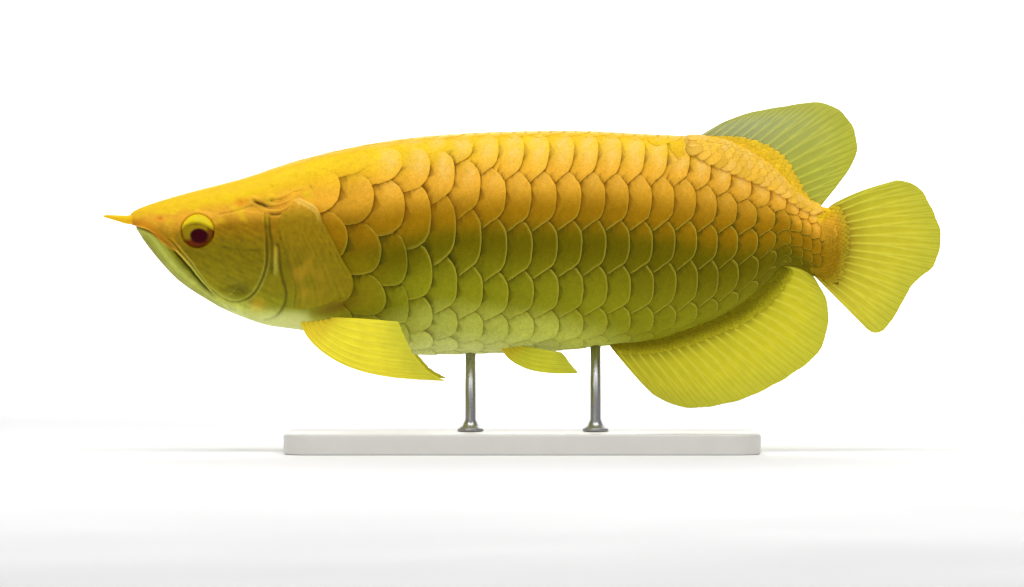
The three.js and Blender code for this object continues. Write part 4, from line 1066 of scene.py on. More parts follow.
def scale_paint(at, points, body, random):
    """Colours of the scales: the body's own, with painted shade that is darker where a scale comes out
    from under its neighbours and lighter to the rear, a dark painted shadow line along those edges,
    a lit rim, grain, and a cream painted highlight on the upper rows."""
    painted_shade, sage, gold, warm_shade, cream = tints(body, "painted_shade", "sage", "gold", "warm_shade", "cream")
    share = at.share
    x, z = points[..., 0], points[..., 2]
    tone = random.standard_normal((len(at.columns), 1, 1))
    shown = np.clip(uncovered(at.row, at.columns, at.c, at.turned, at.shoulder), 0, None)
    strength = (1 - at.bare) * (0.45 + 0.55 * ease(0.04, 0.16, share)) * (1 - 0.4 * ease(0.6, 0.9, share))
    # Random tone, and painted shade: darker where the scale comes out from under its neighbours, lighter
    # toward its rear.
    lightness = 1 + 0.04 * tone + (0.16 * ease(0, 0.75, shown) - 0.08) * strength
    colour = band_colour(at.x, share) * lightness[..., None]
    # Painted shadow: a thin dark line and a softer shade behind the edges of the scales over it.
    crease_shade = 0.85 * bell(shown, 0, 0.05) + 0.2 * np.exp(-shown / 0.16)
    colour = mix(colour, mix(warm_shade, painted_shade, ease(0.3, 0.5, share)), crease_shade * strength)
    # Lit rim: a painted highlight along the rear edge.
    band = ease(0.915, 0.96, at.rings) * ease(-1.2, -0.9, at.c) * ease(0.02, 0.12, shown) * (1 - at.bare)
    band = band * (0.16 + 0.2 * ease(0.3, 0.5, share)) * (0.55 + 0.45 * ease(-90, -50, at.x))
    colour = mix(colour, mix(gold, mix(sage, gold, 0.3), ease(0.2, 0.45, share)), band)
    colour = armpit_shadow(colour, x, z)
    colour = colour * (1 + 0.05 * mottle(x, z, 5, 21 + at.row))[..., None]
    # Painted highlight: mottled cream patches in the upper middle of each scale of the upper rows.
    painted_highlight = bell(at.c, -0.42, 0.3) * bell(at.e, 0.35, 0.42) * (1 + 0.5 * mottle(x, z, 7, 41 + at.row))
    lowest = 0.30 + 0.12 * ease(100, 140, at.x)
    painted_highlight = 0.75 * np.clip(painted_highlight, 0, 1) * ease(lowest, 0.12, share) * ease(0.0, 0.03, share)
    return mix(colour, cream, painted_highlight * ease(-115, -85, at.x))


def scale_cells(at):
    """Baking places: each scale fills most of the cell of its own column and row."""
    back = (at.c + 1.75) / 1.8
    down = np.clip((at.e + 0.3) / 1.5 if at.row else (at.e + 1.25) / 2.5, 0, 1)
    place = np.stack([back, down], -1) * (1 - CELL_MARGIN) + CELL_MARGIN / 2
    cell = np.stack([at.columns + 0 * back, at.row + 0 * down], -1)
    return np.clip((place + cell) / [LAST_COLUMN + 1, BELLY_ROW + 1], 0, 1)


def scale_row(row, columns, body, random):
    """All scales of one row of the left flank: points, colours, numbers for the finish, and baking
    places, each by scale, ring and spoke."""
    at = scale_places(row, columns, random)
    points = scale_points(at, body)
    colour = scale_paint(at, points, body, random)
    turn = np.arctan2(at.edge_e, at.edge_c)
    values = {
        "ring": 0 * at.x + at.rings * 2.2,
        "spoke": (0 * at.x + np.cos(turn) * 9 + np.sin(turn * 2) * 6) * (0.4 + at.rings),
        "seed": 0 * at.x + random.random((len(columns), 1, 1)) * 50,
    }
    return points, colour, values, scale_cells(at)


def plate_values(grid, under=None):
    """Values of plates by ring and spoke, flattened plate by plate: one centre, the rings, the under
    edge and the under centre. The first ring of the grid is the centre repeated, and the under side
    repeats the last ring and the centre unless it is given."""
    count, rings, spokes = grid.shape[:3]
    tail = grid.shape[3:]
    if under is None:
        under = np.stack([grid[:, -1], grid[:, 0]], 1)
    parts = [grid[:, 0, :1], grid[:, 1:].reshape((count, (rings - 1) * spokes) + tail),
             under[:, 0], under[:, 1, :1]]
    return np.concatenate(parts, 1).reshape((-1,) + tail)


def plate_points(grid, drop, centre_drop):
    """Points of plates whose under side lies below the rim and the centre by the given steps."""
    edge = grid[:, -1] - drop
    centre = np.repeat(grid[:, 0, :1] - centre_drop, grid.shape[2], 1)
    return plate_values(grid, np.stack([edge, centre], 1))


def plate_faces(count, rings, spokes):
    """Faces of joined plates: centre fan, rings, rim wall and under side."""
    size = 2 + rings * spokes
    ring = np.arange(spokes)
    after = (ring + 1) % spokes
    top = np.stack([1 + ring, 1 + after, np.zeros(spokes, int)], -1)
    quads = grid_quads(rings, spokes, wrap=True, start=1)
    edge = 1 + (rings - 1) * spokes
    under = np.stack([edge + after, edge + ring, np.full(spokes, size - 1)], -1)
    shift = np.arange(count)[:, None, None] * size
    return ((quads[None, :, ::-1] + shift).reshape(-1, 4),
            (np.concatenate([top, under])[None] + shift).reshape(-1, 3))


class AROWANA_OT_scales(bpy.types.Operator):
    """Lays the large overlapping scales on both flanks, the back and the belly."""
    bl_idname = "arowana.scales"
    bl_label = "Scales"

    def execute(self, context):
        body = context.scene.arowana_body
        material = scale_material()
        for side, sign in (("left", 1), ("right", -1)):
            for part, rows, seed in (("upper", (0, 1, 2, 3), 71), ("lower", (4, 5, 6, 7), 72)):
                random = np.random.default_rng(seed)
                if sign < 0:
                    rows = [row for row in rows if row not in (0, BELLY_ROW)]
                gathered = [self.gather(row, body, random, sign) for row in rows]
                self.lay(f"scales_{side}_{part}", gathered, material)
        return {"FINISHED"}

    def gather(self, row, body, random, sign):
        """One row's scales, kept where they show."""
        columns = np.arange(0, LAST_COLUMN + 1).astype(float)
        rear = place_in_row(row, columns + REAR_EDGE[row])
        start, span = row_span(row, columns)
        keep = rear > nape_line(start + (0.5 if row else 0) * span) + 3
        if row == 0:
            keep &= rear < DORSAL_ROOT_X
        if row == BELLY_ROW:
            keep &= rear < ANAL_ROOT_X
        points, colour, values, cells = scale_row(row, columns[keep], body, random)
        points[..., 1] *= sign
        return points, colour, values, cells

    def lay(self, name, gathered, material):
        """Joins rows into one piece."""
        thick = bpy.context.scene.arowana_body.thickness / MM
        points, colours, cells = [], [], []
        values = {"ring": [], "spoke": [], "seed": []}
        for grid, colour, numbers, cell in gathered:
            centre = grid[:, 0, 0]
            normal = unit(np.cross(grid[:, -1, 0] - centre, grid[:, -1, 10] - centre))
            outward = np.where(normal[:, 1:2] * centre[:, 1:2] < 0, -normal, normal)
            drop = outward[:, None, :] * thick
            points.append(plate_points(grid, drop, drop * 1.3))
            colours.append(plate_values(colour))
            cells.append(plate_values(cell))
            for key in values:
                values[key].append(plate_values(numbers[key]))
        count = sum(len(row[0]) for row in gathered)
        quads, triangles = plate_faces(count, *grid.shape[1:3])
        obj = add_piece(name, np.concatenate(points), quads, triangles,
                        values={key: np.concatenate(rows) for key, rows in values.items()},
                        colours=np.concatenate(colours), uv=np.concatenate(cells))
        finish_piece(obj, material)


def lattice(rows, across):
    """Row and place in its row of each small scale, every other row set over by half a scale, and
    its cell of the baking map."""
    row, item = (grid.ravel() for grid in np.meshgrid(np.arange(rows), np.arange(across), indexing="ij"))
    item = item + 0.5 * (row % 2)
    return row, item, np.stack([item, row], -1)


def small_scales(name, centre, rearward, outward, length, width, colour, material, seed, cell, cells):
    """Small pointed plates: each is an oval about its centre, with its rear end drawn to a blunt
    point, a low dome, and its rear edge lifted off the scale behind."""
    random = np.random.default_rng(seed)
    count, spokes = len(centre), 14
    turn = np.arange(spokes) / spokes * 2 * PI
    ring = np.array([0, 0.55, 0.88, 1.0])[None, :, None]
    reach = np.cos(turn) * np.where(np.cos(turn) > 0, 1 + 0.15 * np.cos(turn) ** 4, 0.9)
    spread = np.sin(turn) * (1 - 0.12 * np.cos(turn))
    side = unit(np.cross(outward, rearward))
    length = (length * (1 + 0.1 * random.standard_normal(count)))[:, None, None]
    width = np.broadcast_to(width, (count,))[:, None, None]
    u = ring * reach * length / 2
    v = ring * spread * width / 2
    lift = 0.35 + u / length - 0.2 * ring ** 2 - 0.15 * ease(0.85, 1, ring)
    grid = (centre[:, None, None] + rearward[:, None, None] * u[..., None]
            + side[:, None, None] * v[..., None] + outward[:, None, None] * lift[..., None])
    painted_shade, gold = tints(bpy.context.scene.arowana_body, "painted_shade", "gold")
    tone = colour * (1 + 0.05 * random.standard_normal((count, 1)))
    # Painted shade at the front of each scale, where it comes out from under the one ahead.
    shade = 0.32 * np.exp(-np.clip(u / length + 0.3, 0, None) / 0.12)
    paint = mix(np.broadcast_to(tone[:, None, None], grid.shape), painted_shade, shade)
    # A faint gold painted highlight on the rear rim.
    paint = mix(paint, gold, 0.08 * ease(0.8, 1, ring) * (np.cos(turn) > 0) + 0 * u)
    uv = (cell[:, None, None] + 0.5 + 0.85 * np.stack([v / width, u / length], -1)) / np.array(cells)
    numbers = {"ring": 0 * u + ring * 2, "spoke": 0 * u + np.cos(turn) * 6,
               "seed": 0 * u + random.random((count, 1, 1)) * 50}
    drop = outward[:, None]
    obj = add_piece(name, plate_points(grid, drop * 0.5, drop * 0.8),
                    *plate_faces(count, grid.shape[1], spokes),
                    values={key: plate_values(value) for key, value in numbers.items()},
                    colours=plate_values(paint), uv=plate_values(uv))
    finish_piece(obj, material)


class AROWANA_OT_sheaths(bpy.types.Operator):
    """Lays the rows of small scales that run onto the roots of the dorsal, anal and tail fins."""
    bl_idname = "arowana.sheaths"
    bl_label = "Small scales at the fin roots"

    def execute(self, context):
        material = bpy.data.materials.get("pearly_scale") or scale_material()
        for name, plan in SHEATHS.items():
            self.fin_rows(name, plan, material)
        self.shoulder_rows(material)
        return {"FINISHED"}

    def fin_rows(self, name, plan, material):
        """Rows that run from the body onto one fin's root, on both faces."""
        fin, across, rows, before = plan["fin"], plan["across"], plan["rows"], plan["before"]
        row, item, cell = lattice(rows, across)
        a = 0.03 + 0.93 * (item + 0.25) / across
        level = (row + 0.3) / rows
        s = (smooth_through(plan["reach"])(a) + before) * level - before
        ray = along(spline(fin["tip"]), a) - along(spline(fin["root"]), a)
        place = patch(fin, a, np.maximum(s, 0)) + np.minimum(s, 0)[:, None] * ray
        heading = unit(patch(fin, a, np.maximum(s, 0) + 0.04) - patch(fin, a, np.maximum(s, 0)))
        if name == "tail":
            body_x = np.minimum(place[:, 0], 213)
            flank = -skin_point(body_x, angle_at_height(body_x, place[:, 1]))[:, 1]
            thick = 1.3 + np.maximum(flank - 1.5, 0) * ease(229, 208, place[:, 0])
        else:
            thick = 3.4 * (1 - level) + fin["thick"][1] / 2 * level
        colour = self.paint(name, place[:, 0], a, level)
        for side, sign in (("left", -1), ("right", 1)):
            centre = np.stack([place[:, 0], sign * thick, place[:, 1]], -1)
            rearward = unit(np.stack([heading[:, 0], -sign * 0.12 + 0 * a, heading[:, 1]], -1))
            outward = unit([0, sign, 0] - rearward * (sign * rearward[:, 1:2]))
            small_scales(f"{name}_root_scales_{side}", centre, rearward, outward, *plan["size"],
                         colour, material, 40 + rows, cell, (across + 1, rows))

    def paint(self, name, x, a, level):
        """Colour of a fin's small scales, from the body's at their root toward the fin's own."""
        gold, amber, bronze, olive, moss, sage = tints(
            bpy.context.scene.arowana_body, "gold", "amber", "bronze", "olive", "moss", "sage")
        anal, caudal = tints(bpy.context.scene.arowana_fins, "anal", "caudal")
        if name == "tail":
            colour = band_colour(np.minimum(x, 208), 0.06 + 0.9 * a)
            colour = mix(colour, bronze, 0.45 * ease(0.08, 0.35, a)) * 0.96
            return mix(colour, caudal * 0.8, 0.1 + 0.55 * ease(0.4, 1, level))
        if name == "anal":
            return mix(mix(olive, moss, 0.1 + 0.2 * a), anal * 0.75, ease(0.3, 1.15, level))
        return mix(mix(gold, amber, 0.25), sage, 0.05 + 0.2 * level)

    def shoulder_rows(self, material):
        """Scales of the body between its uppermost flank row and the root of the dorsal fin, by place
        and girth angle."""
        gold, cream, amber = tints(bpy.context.scene.arowana_body, "gold", "cream", "amber")
        across, rows = 17, 5
        row, item, cell = lattice(rows, across)
        run = item / across
        x = 116 + 86 * run ** 0.92
        angle = np.radians(7 + (station_value(ROW_EDGES, x, 0) - 2) * (row + 0.35) / rows)
        height = 0.25 + 0.1 * row
        centre = on_skin(x, angle, height)
        rearward = unit(on_skin(x + 1, angle, height) - centre)
        outward = skin_normal(x, angle)
        rearward = unit(rearward - outward * (rearward * outward).sum(-1, keepdims=True))
        patchy = ease(-0.3, 0.7, mottle(x, np.degrees(angle), 14, 51))
        colour = mix(mix(gold, amber, 0.3), cream, 0.3 + 0.4 * patchy)
        colour = mix(colour, amber, 0.4 * ease(0.2, 0.8, row / rows))
        for side, sign in (("left", 1), ("right", -1)):
            flip = np.array([1, sign, 1])
            small_scales(f"dorsal_shoulder_scales_{side}", centre * flip, rearward * flip, outward * flip,
                         12.5 - 5.5 * run, 12.0 - 6.0 * run, colour, material, 61, cell,
                         (across + 1, rows))


# Gill covers


class AROWANA_OT_gill_covers(bpy.types.Operator):
    """Lays the two broad gill covers, striated plates with a raised pale rear rim."""
    bl_idname = "arowana.gill_covers"
    bl_label = "Gill covers"

    def execute(self, context):
        across, down = ((90, 130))
        a, s = np.meshgrid(np.linspace(0, 1, across), np.linspace(0, 1, down), indexing="ij")
        flat = patch(COVER, a, s)
        angle = angle_at_height(flat[..., 0], flat[..., 1])
        wide = np.linalg.norm(flat[-1] - flat[0], axis=-1)[None, :]
        outer = on_skin(flat[..., 0], angle, self.height(a, s, flat, wide))
        inner = on_skin(flat[..., 0], angle, -COVER_BED + 1.3 * ease(0.55, 1, a))
        points, quads = closed_sheet(outer, inner)
        paint = self.paint(a, s, flat, wide, depth_share(angle)).reshape(-1, 3)
        material = skin_material()
        for side, sign in (("left", 1), ("right", -1)):
            obj = add_piece(f"gill_cover_{side}_plate", points * [1, sign, 1], quads,
                            colours=np.tile(paint, (2, 1)))
            finish_piece(obj, material, (f"gill_cover_{side}",))
        return {"FINISHED"}

    def height(self, a, s, flat, wide):
        """Height of the outer face in millimetres, by place from front to rear and top to bottom: it
        rises from its front edge to a raised rear rim, with fine ribs between and a rounded border."""
        edge = np.minimum.reduce([(1 - a) * wide, s * 60 + 2 * a, (1 - s) * 45])
        height = 0.15 + 2.1 * ease(0, 1, a) ** 0.8 * ease(0, 0.25, s) * (0.4 + 0.6 * ease(0, 0.3, 1 - s))
        height += 0.45 * bell(edge, 1.6, 1.1) * ease(0.2, 0.6, a)
        height += 0.06 * np.sin(a * 83 - 4 * s) * ease(0.2, 0.5, a) * ease(0.2, 0.45, s)
        height += 0.2 * mottle(flat[..., 0], flat[..., 1], 6, 34)
        height -= 0.5 * bell(a * wide, 0, 1.5)
        return height - 1.3 * np.exp(-np.clip(edge, 0, None) / 0.5)

    def paint(self, a, s, flat, wide, share):
        """The body's colours with fine ribs, painted shade along the front edge, an amber glow and a pale
        rear rim.
        """
        amber, olive, painted_shade, gold, tan, cream = tints(
            bpy.context.scene.arowana_body, "amber", "olive", "painted_shade", "gold", "tan", "cream")
        x, z = flat[..., 0], flat[..., 1]
        colour = mix(band_colour(x, share), tan, 0.5 * ease(0.2, 0.34, share))
        ribs = 0.05 * (np.sin(a * 61 + 5 * s) + np.sin(a * 83 - 4 * s)) * ease(0.2, 0.45, s)
        clouds = 0.08 * mottle(x * 2, z, 8, 31) + 0.06 * mottle(x, z, 3.5, 32)
        colour = colour * (1 + ribs + clouds)[..., None]
        # Painted shade along the front edge.
        colour = mix(colour, painted_shade, 0.45 * bell(a, 0.02, 0.05) * ease(0.1, 0.3, s))
        glow = ease(-1, 1, mottle(x, z, 18, 33)) * bell(s, 0.68, 0.2) * bell(a, 0.25, 0.25)
        colour = mix(colour, amber, 0.3 * glow)
        rim = ease(5.6, 3.6, (1 - a) * wide + 0.7 * mottle(x, z, 5, 35))
        colour = mix(colour, mix(gold, cream, 0.6), rim * ease(0.42, 0.08, s) * 0.8)
        return mix(colour, mix(olive, gold, 0.3), rim * ease(0.3, 0.6, s) * 0.35)


# Eyes


class AROWANA_OT_eyes(bpy.types.Operator):
    """Sets the eyes: a bulging painted ball, and the yellow tissue that covers its top."""
    bl_idname = "arowana.eyes"
    bl_label = "Eyes"

    def execute(self, context):
        around = np.arange(96) / 96 * 2 * PI
        lat, lon = np.meshgrid(np.linspace(0, PI, 64), around, indexing="ij")
        radius, bulge = EYE["radius"] - 0.25, EYE["bulge"]
        globe, u, v = self.ball(lat, lon, radius, bulge)
        lid_ball, lid_u, lid_v = self.ball(lat, lon, radius + 0.35, bulge + 0.75)
        inner = self.ball(lat, lon, radius - 0.6, bulge - 0.9)[0]
        over_edge = lid_v - (4.6 - 0.035 * lid_u ** 2 - 0.02 * lid_u)
        tuck = ease(-0.5, 0.7, over_edge)[..., None]
        lid_ball = inner * (1 - tuck) + lid_ball * tuck
        material = eye_material()
        for side, sign in (("left", 1), ("right", -1)):
            for name, grid, paint in (("eyeball", globe, self.globe_paint(u, v)),
                                      ("eye_lid", lid_ball, self.lid_paint(lid_u, over_edge))):
                points, quads, caps = capped_tube(grid[1:-1], grid[0, 0], grid[-1, 0])
                obj = add_piece(f"{name}_{side}", points * [1, sign, 1], quads, caps,
                                colours=with_ends(paint[1:-1], paint[0, 0], paint[-1, 0]))
                finish_piece(obj, material, (f"eye_{side}",) if name == "eyeball" else ())
        return {"FINISHED"}

    def ball(self, lat, lon, radius, bulge):
        """Flattened ball, the radius across the flank and the bulge along the flank's normal, and the
        places of its points to the rear and upward, in millimetres."""
        angle = angle_at_height(EYE["x"], EYE["z"])
        normal = skin_normal(EYE["x"], angle)
        centre = on_skin(EYE["x"], angle, -EYE["sunk"])
        up = unit(np.array([0, 0, 1]) - normal * normal[2])
        rear = np.cross(up, normal)
        rear = rear * np.sign(rear[0])
        u, v = radius * np.sin(lat) * np.cos(lon), radius * np.sin(lat) * np.sin(lon)
        out = bulge * np.cos(lat)
        return centre + u[..., None] * rear + v[..., None] * up + out[..., None] * normal, u, v

    def globe_paint(self, u, v):
        """Iris, darker above with painted shade under the lid and reddish below, and the pupil, an ellipse
        low in the eye.
        """
        pupil, iris, shade, lid = tints(bpy.context.scene.arowana_eyes, "pupil", "iris", "iris_shade",
                                        "lid")
        in_pupil = np.hypot((u - EYE["pupil_u"]) / EYE["pupil_wide"],
                            (v - EYE["pupil_v"]) / EYE["pupil_high"])
        ring = np.hypot(u / 12, (v + 0.5) / 12)
        # Painted shade: the iris darkens upward, where the lid overhangs it.
        colour = mix(np.broadcast_to(iris, u.shape + (3,)), iris * 0.5, ease(2.5, 5.5, v))
        colour = mix(colour, shade, ease(-3.5, -7, v + 0.1 * np.abs(u - 1)) * 0.95)
        colour = mix(colour, shade, ease(5.5, 8.5, u) * ease(5, 0, v) * 0.8)
        colour = mix(colour, lid, bell(ring, 0.93, 0.04) * ease(-3, -8, v) * 0.8)
        colour = mix(colour, pupil * 0.6, bell(in_pupil, 1.04, 0.1) * 0.7)
        return mix(colour, pupil, ease(1.06, 0.94, in_pupil))

    def lid_paint(self, u, over_edge):
        """The lid's colour, with painted shade at its lower edge and a painted highlight above, most to the
        front.
        """
        iris, lid = tints(bpy.context.scene.arowana_eyes, "iris", "lid")
        # Painted shade along the lower edge.
        colour = mix(mix(lid, iris, 0.5) * 0.8, lid, ease(0.2, 2.6, over_edge))
        # Painted highlight on the upper part, most to the front.
        return mix(colour, np.minimum(lid * 1.25, 1), ease(1, 4, over_edge) * ease(4, -4, u) * 0.5)


class AROWANA_OT_barbels(bpy.types.Operator):
    """Draws the two barbels, tapered tubes that curve forward from the lower lip's tip."""
    bl_idname = "arowana.barbels"
    bl_label = "Barbels"

    def execute(self, context):
        rings, sides = 60, 28
        path = spline(BARBEL_PATH, rings)
        t = np.linspace(0, 1, rings)[:, None]
        radius = smooth_through(BARBEL_RADIUS)(t)
        radius = radius * np.sqrt(np.clip(1 - ((t - 0.9) / 0.1) ** 2, 0.02, 1)) ** (t > 0.9)
        turn = np.arange(sides) / sides * 2 * PI
        ripple = 1 + 0.03 * np.sin(t * 70)
        offset = np.stack([0 * t + 0 * turn, 0.75 * radius * ripple * np.sin(turn),
                           radius * ripple * np.cos(turn)], -1)
        points, quads, caps = capped_tube(path[:, None] + offset, path[0], path[-1] - [0.2, 0, 0])
        gold, orange = tints(context.scene.arowana_body, "gold", "orange")
        paint = mix(gold, orange, 0.75 * ease(0.45, 0.1, t) + 0.2 * (np.cos(turn) < 0))
        paint = with_ends(paint, paint[0, 0], paint[-1, 0])
        material = skin_material()
        for side, sign in (("left", 1), ("right", -1)):
            obj = add_piece(f"barbel_{side}_skin", points * [1, sign, 1], quads, caps, colours=paint)
            finish_piece(obj, material, (f"barbel_{side}",))
        return {"FINISHED"}


# Fins


def ray_crest(phase, s, width=0.13):
    """Height share of branching rays: each ray's line splits into two that spread apart, and those
    split again near the edge; a line is a bell across its distance."""
    first = 0.23 * ease(0.3, 0.85, s)
    second = 0.11 * ease(0.62, 1.0, s)
    fraction = phase - np.floor(phase) - 0.5
    lines = [bell(fraction, way * first + fork * second, width * (1 - 0.45 * s))
             for way in (-1, 1) for fork in (-1, 1)]
    return np.maximum.reduce(lines)


def fin_half_thickness(fin, a, s):
    """Half thickness: full at the root, easing into a blade that thins to the edge, with crests on
    the rays and joints along them, and rounded to nothing at its border."""
    root, blade, edge = fin["thick"]
    body = blade + (edge - blade) * s + (root - blade) * (1 - ease(0, 0.3, s))
    crest = ray_crest(a * fin["rays"], s)
    joints = 0.05 * np.sin(s * 150) * crest * ease(0.15, 0.4, s)
    border = np.sqrt(np.clip(np.minimum.reduce([s * 0 + 1, (1 - s) * 40 + 0.02, a * 60 + 0.02,
                                                (1 - a) * 60 + 0.02]), 0, 1))
    return body * (0.5 + 0.5 * crest + joints) * border / 2, crest


def fin_grid(fin):
    """Parameters over a fin, crowded toward its borders: across its rays, and from root to tip."""
    across = fin["rays"] * 11 + 1
    outward = 80
    a = np.linspace(0, 1, across)
    a = np.concatenate([[0, 0.001, 0.004], a[1:-1], [0.996, 0.999, 1]])
    s = np.concatenate([np.linspace(0, 0.97, outward), [0.985, 0.993, 0.998, 1]])
    return np.meshgrid(a, s, indexing="ij")


def fin_place(fin, a, s):
    """Side-view place on a fin whose outer corners are drawn in, each by a share of its length that
    falls off along the tip, and whose edge dips a little between the rays."""
    corner = np.exp(-a / 0.045) + np.exp(-(1 - a) / 0.045)
    dip = 0.003 * np.cos(2 * PI * a * fin["rays"]) ** 2 * ease(0.6, 1, s)
    wave = 0.008 * np.sin(a * 23 + 1) * np.sin(a * 41) * ease(0.5, 1, s)
    return patch(fin, a, s * (1 - fin["round"] * corner - dip + wave))


def fin_surface(name, faces, paint, a, s, fin, material, replaced):
    """Closes the two faces of a fin along their shared border and adds the piece."""
    points, quads = closed_sheet(*faces)
    obj = add_piece(name, points, quads, colours=np.tile(paint.reshape(-1, 3), (2, 1)),
                    values={"across": np.tile(a.ravel() * fin["rays"] * 4, 2),
                            "out": np.tile(s.ravel() * 5, 2)})
    finish_piece(obj, material, replaced)


def fin_paint(context, fin, blade, root, s, crest):
    """Fin colour: the blade's own, with painted shade between the rays, most near the root, light on
    the crests, partly the rays' own paler colour and partly painted highlight, painted shade at the
    root, and greener at the edge; the root's colour runs out between the rays."""
    edge, light = tints(context.scene.arowana_fins, "edge", "crest")
    painted_shade, = tints(context.scene.arowana_body, "painted_shade")
    colour = mix(blade, edge, 0.6 * ease(0.62, 1, s))
    # Painted shade between the rays, most near the root.
    valley = (1 - crest) * (0.25 + 0.75 * ease(0.7, 0.1, s))
    colour = mix(colour, colour * 0.78, valley * fin["crests"] * 1.5)
    # The crests' paler colour: partly the rays' own, partly painted highlight.
    colour = mix(colour, light, crest * fin["crests"] * ease(0.05, 0.2, s))
    reach = ease(fin["reach"], fin["reach"] * 0.2, s + 0.08 * crest) * (0.9 - 0.3 * crest)
    # Painted shade near the root, then the root's own colour.
    return mix(mix(colour, painted_shade, 0.12 * ease(0.25, 0, s)), root, reach)


class AROWANA_OT_median_fins(bpy.types.Operator):
    """Builds the dorsal, anal and tail fins: thin blades with branching rays raised on both faces."""
    bl_idname = "arowana.median_fins"
    bl_label = "Dorsal, anal and tail fins"

    def execute(self, context):
        material = fin_material()
        for name, fin in (("dorsal_fin", DORSAL), ("anal_fin", ANAL), ("caudal_fin", CAUDAL)):
            a, s = fin_grid(fin)
            place = fin_place(fin, a, s)
            half, crest = fin_half_thickness(fin, a, s)
            blade, root = self.tones(context, name, a)
            paint = fin_paint(context, fin, blade, root, s, crest)
            faces = [np.stack([place[..., 0], sign * half, place[..., 1]], -1) for sign in (-1, 1)]
            fin_surface(f"{name}_blade", faces, paint, a, s, fin, material, (name,))
        return {"FINISHED"}

    def tones(self, context, name, a):
        """Colours of one fin's blade, by place across it, and of its root."""
        front, rear, anal, caudal, edge = tints(
            context.scene.arowana_fins, "dorsal_front", "dorsal_rear", "anal", "caudal", "edge")
        moss, olive, bronze = tints(context.scene.arowana_body, "moss", "olive", "bronze")
        if name == "dorsal_fin":
            return mix(front, rear, ease(0.1, 0.75, a)), moss
        if name == "anal_fin":
            return mix(anal * 0.85, anal, ease(0, 0.35, a)), olive
        return mix(caudal, edge, 0.5 * ease(0.25, 0, a)), mix(bronze, caudal, 0.35)


class AROWANA_OT_paired_fins(bpy.types.Operator):
    """Builds the pectoral and pelvic fins, blades that curl away from the flank."""
    bl_idname = "arowana.paired_fins"
    bl_label = "Pectoral and pelvic fins"

    def execute(self, context):
        pectoral, pelvic = tints(context.scene.arowana_fins, "pectoral", "pelvic")
        amber, = tints(context.scene.arowana_body, "amber")
        material = fin_material()
        for name, fin, tint in (("pectoral_fin", PECTORAL, pectoral), ("pelvic_fin", PELVIC, pelvic)):
            a, s = fin_grid(fin)
            middle = self.middle(fin, a, s)
            normal = unit(np.cross(np.gradient(middle, axis=0), np.gradient(middle, axis=1)))
            half, crest = fin_half_thickness(fin, a, s)
            blade = np.broadcast_to(tint, a.shape + (3,))
            paint = fin_paint(context, fin, blade, mix(tint, amber, 0.35), s, crest)
            for side, sign in (("left", 1), ("right", -1)):
                faces = [(middle + way * normal * half[..., None]) * [1, sign, 1] for way in (1, -1)]
                fin_surface(f"{name}_{side}_blade", faces, paint, a, s, fin, material,
                            (f"{name}_{side}",))
        return {"FINISHED"}

    def middle(self, fin, a, s):
        """Middle surface of a fin that starts inside the flank and curls out as sin(1.35 s)."""
        flat = fin_place(fin, a, s)
        root = along(spline(fin["root"]), a)
        angle = angle_at_height(root[..., 0], root[..., 1])
        root_y = on_skin(root[..., 0], angle, 0 * a - fin["sunk"])[..., 1]
        y = root_y - (fin["sunk"] + fin["spread"]) * np.sin(s * 1.35) * (1 - 0.25 * a)
        return np.stack([flat[..., 0], y, flat[..., 1]], -1)


# Stand and stage


class AROWANA_OT_stand(bpy.types.Operator):
    """Makes the plain stand: a lacquered base with eased edges and two turned steel rods."""
    bl_idname = "arowana.stand"
    bl_label = "Display stand"

    def execute(self, context):
        stage = context.scene.arowana_stage
        board = add_piece("stand_board", *self.board())
        finish_piece(board, plain_material("lacquered_board", stage.board, 0.45, scale=60.0),
                     ("stand_base",))
        steel = plain_material("brushed_steel", stage.steel, 0.3, 1.0, 400.0)
        for name, x in zip(("front", "rear"), ROD["places"]):
            rod = add_piece(f"stand_rod_{name}_turned", *self.rod(x))
            finish_piece(rod, steel, (f"stand_rod_{name}",))
        return {"FINISHED"}

    def board(self):
        """The base: rounded rectangles, one above the other, drawn in round the quarter bevels."""
        corner, bevel, height, count = STAND["corner"], STAND["bevel"], STAND["height"], 128
        turn = np.arange(count) / count * 2 * PI + PI / count
        arm = np.stack([np.sign(np.cos(turn)) * (STAND["length"] / 2 - corner),
                        np.sign(np.sin(turn)) * (STAND["width"] / 2 - corner)], -1)
        spoke = np.stack([np.cos(turn), np.sin(turn)], -1)
        quarter = np.linspace(0, PI / 2, 7)
        inset, level = bevel * (1 - np.sin(quarter)), bevel * (1 - np.cos(quarter))
        inset = np.concatenate([inset, inset[::-1]])[:, None, None]
        level = np.concatenate([level, height - level[::-1]])[:, None, None]
        flat = arm + spoke * (corner - inset)
        grid = np.concatenate([flat, level + 0 * flat[..., :1]], -1)
        return capped_tube(grid, [0, 0, 0], [0, 0, height])

    def rod(self, x):
        """One rod with its collar, turned about its axis at place x."""
        foot = STAND["height"] + ROD["gap"]
        top = float(belly_at(x)) + ROD["reach"] - 3
        thin, wide, sides = ROD["radius"], ROD["foot"], 40
        profile = np.array([[wide - 0.4, foot], [wide, foot + 0.4], [wide, foot + 1.6],
                            [wide - 0.4, foot + 2], [thin + 2.2, foot + 3.6], [thin + 0.9, foot + 6],
                            [thin, foot + 8], [thin, top]])
        turn = np.arange(sides) / sides * 2 * PI
        radius, level = profile[:, :1], profile[:, 1:]
        grid = np.stack([x + radius * np.cos(turn), radius * np.sin(turn), level + 0 * turn], -1)
        return capped_tube(grid, [x, 0, foot], [x, 0, top])


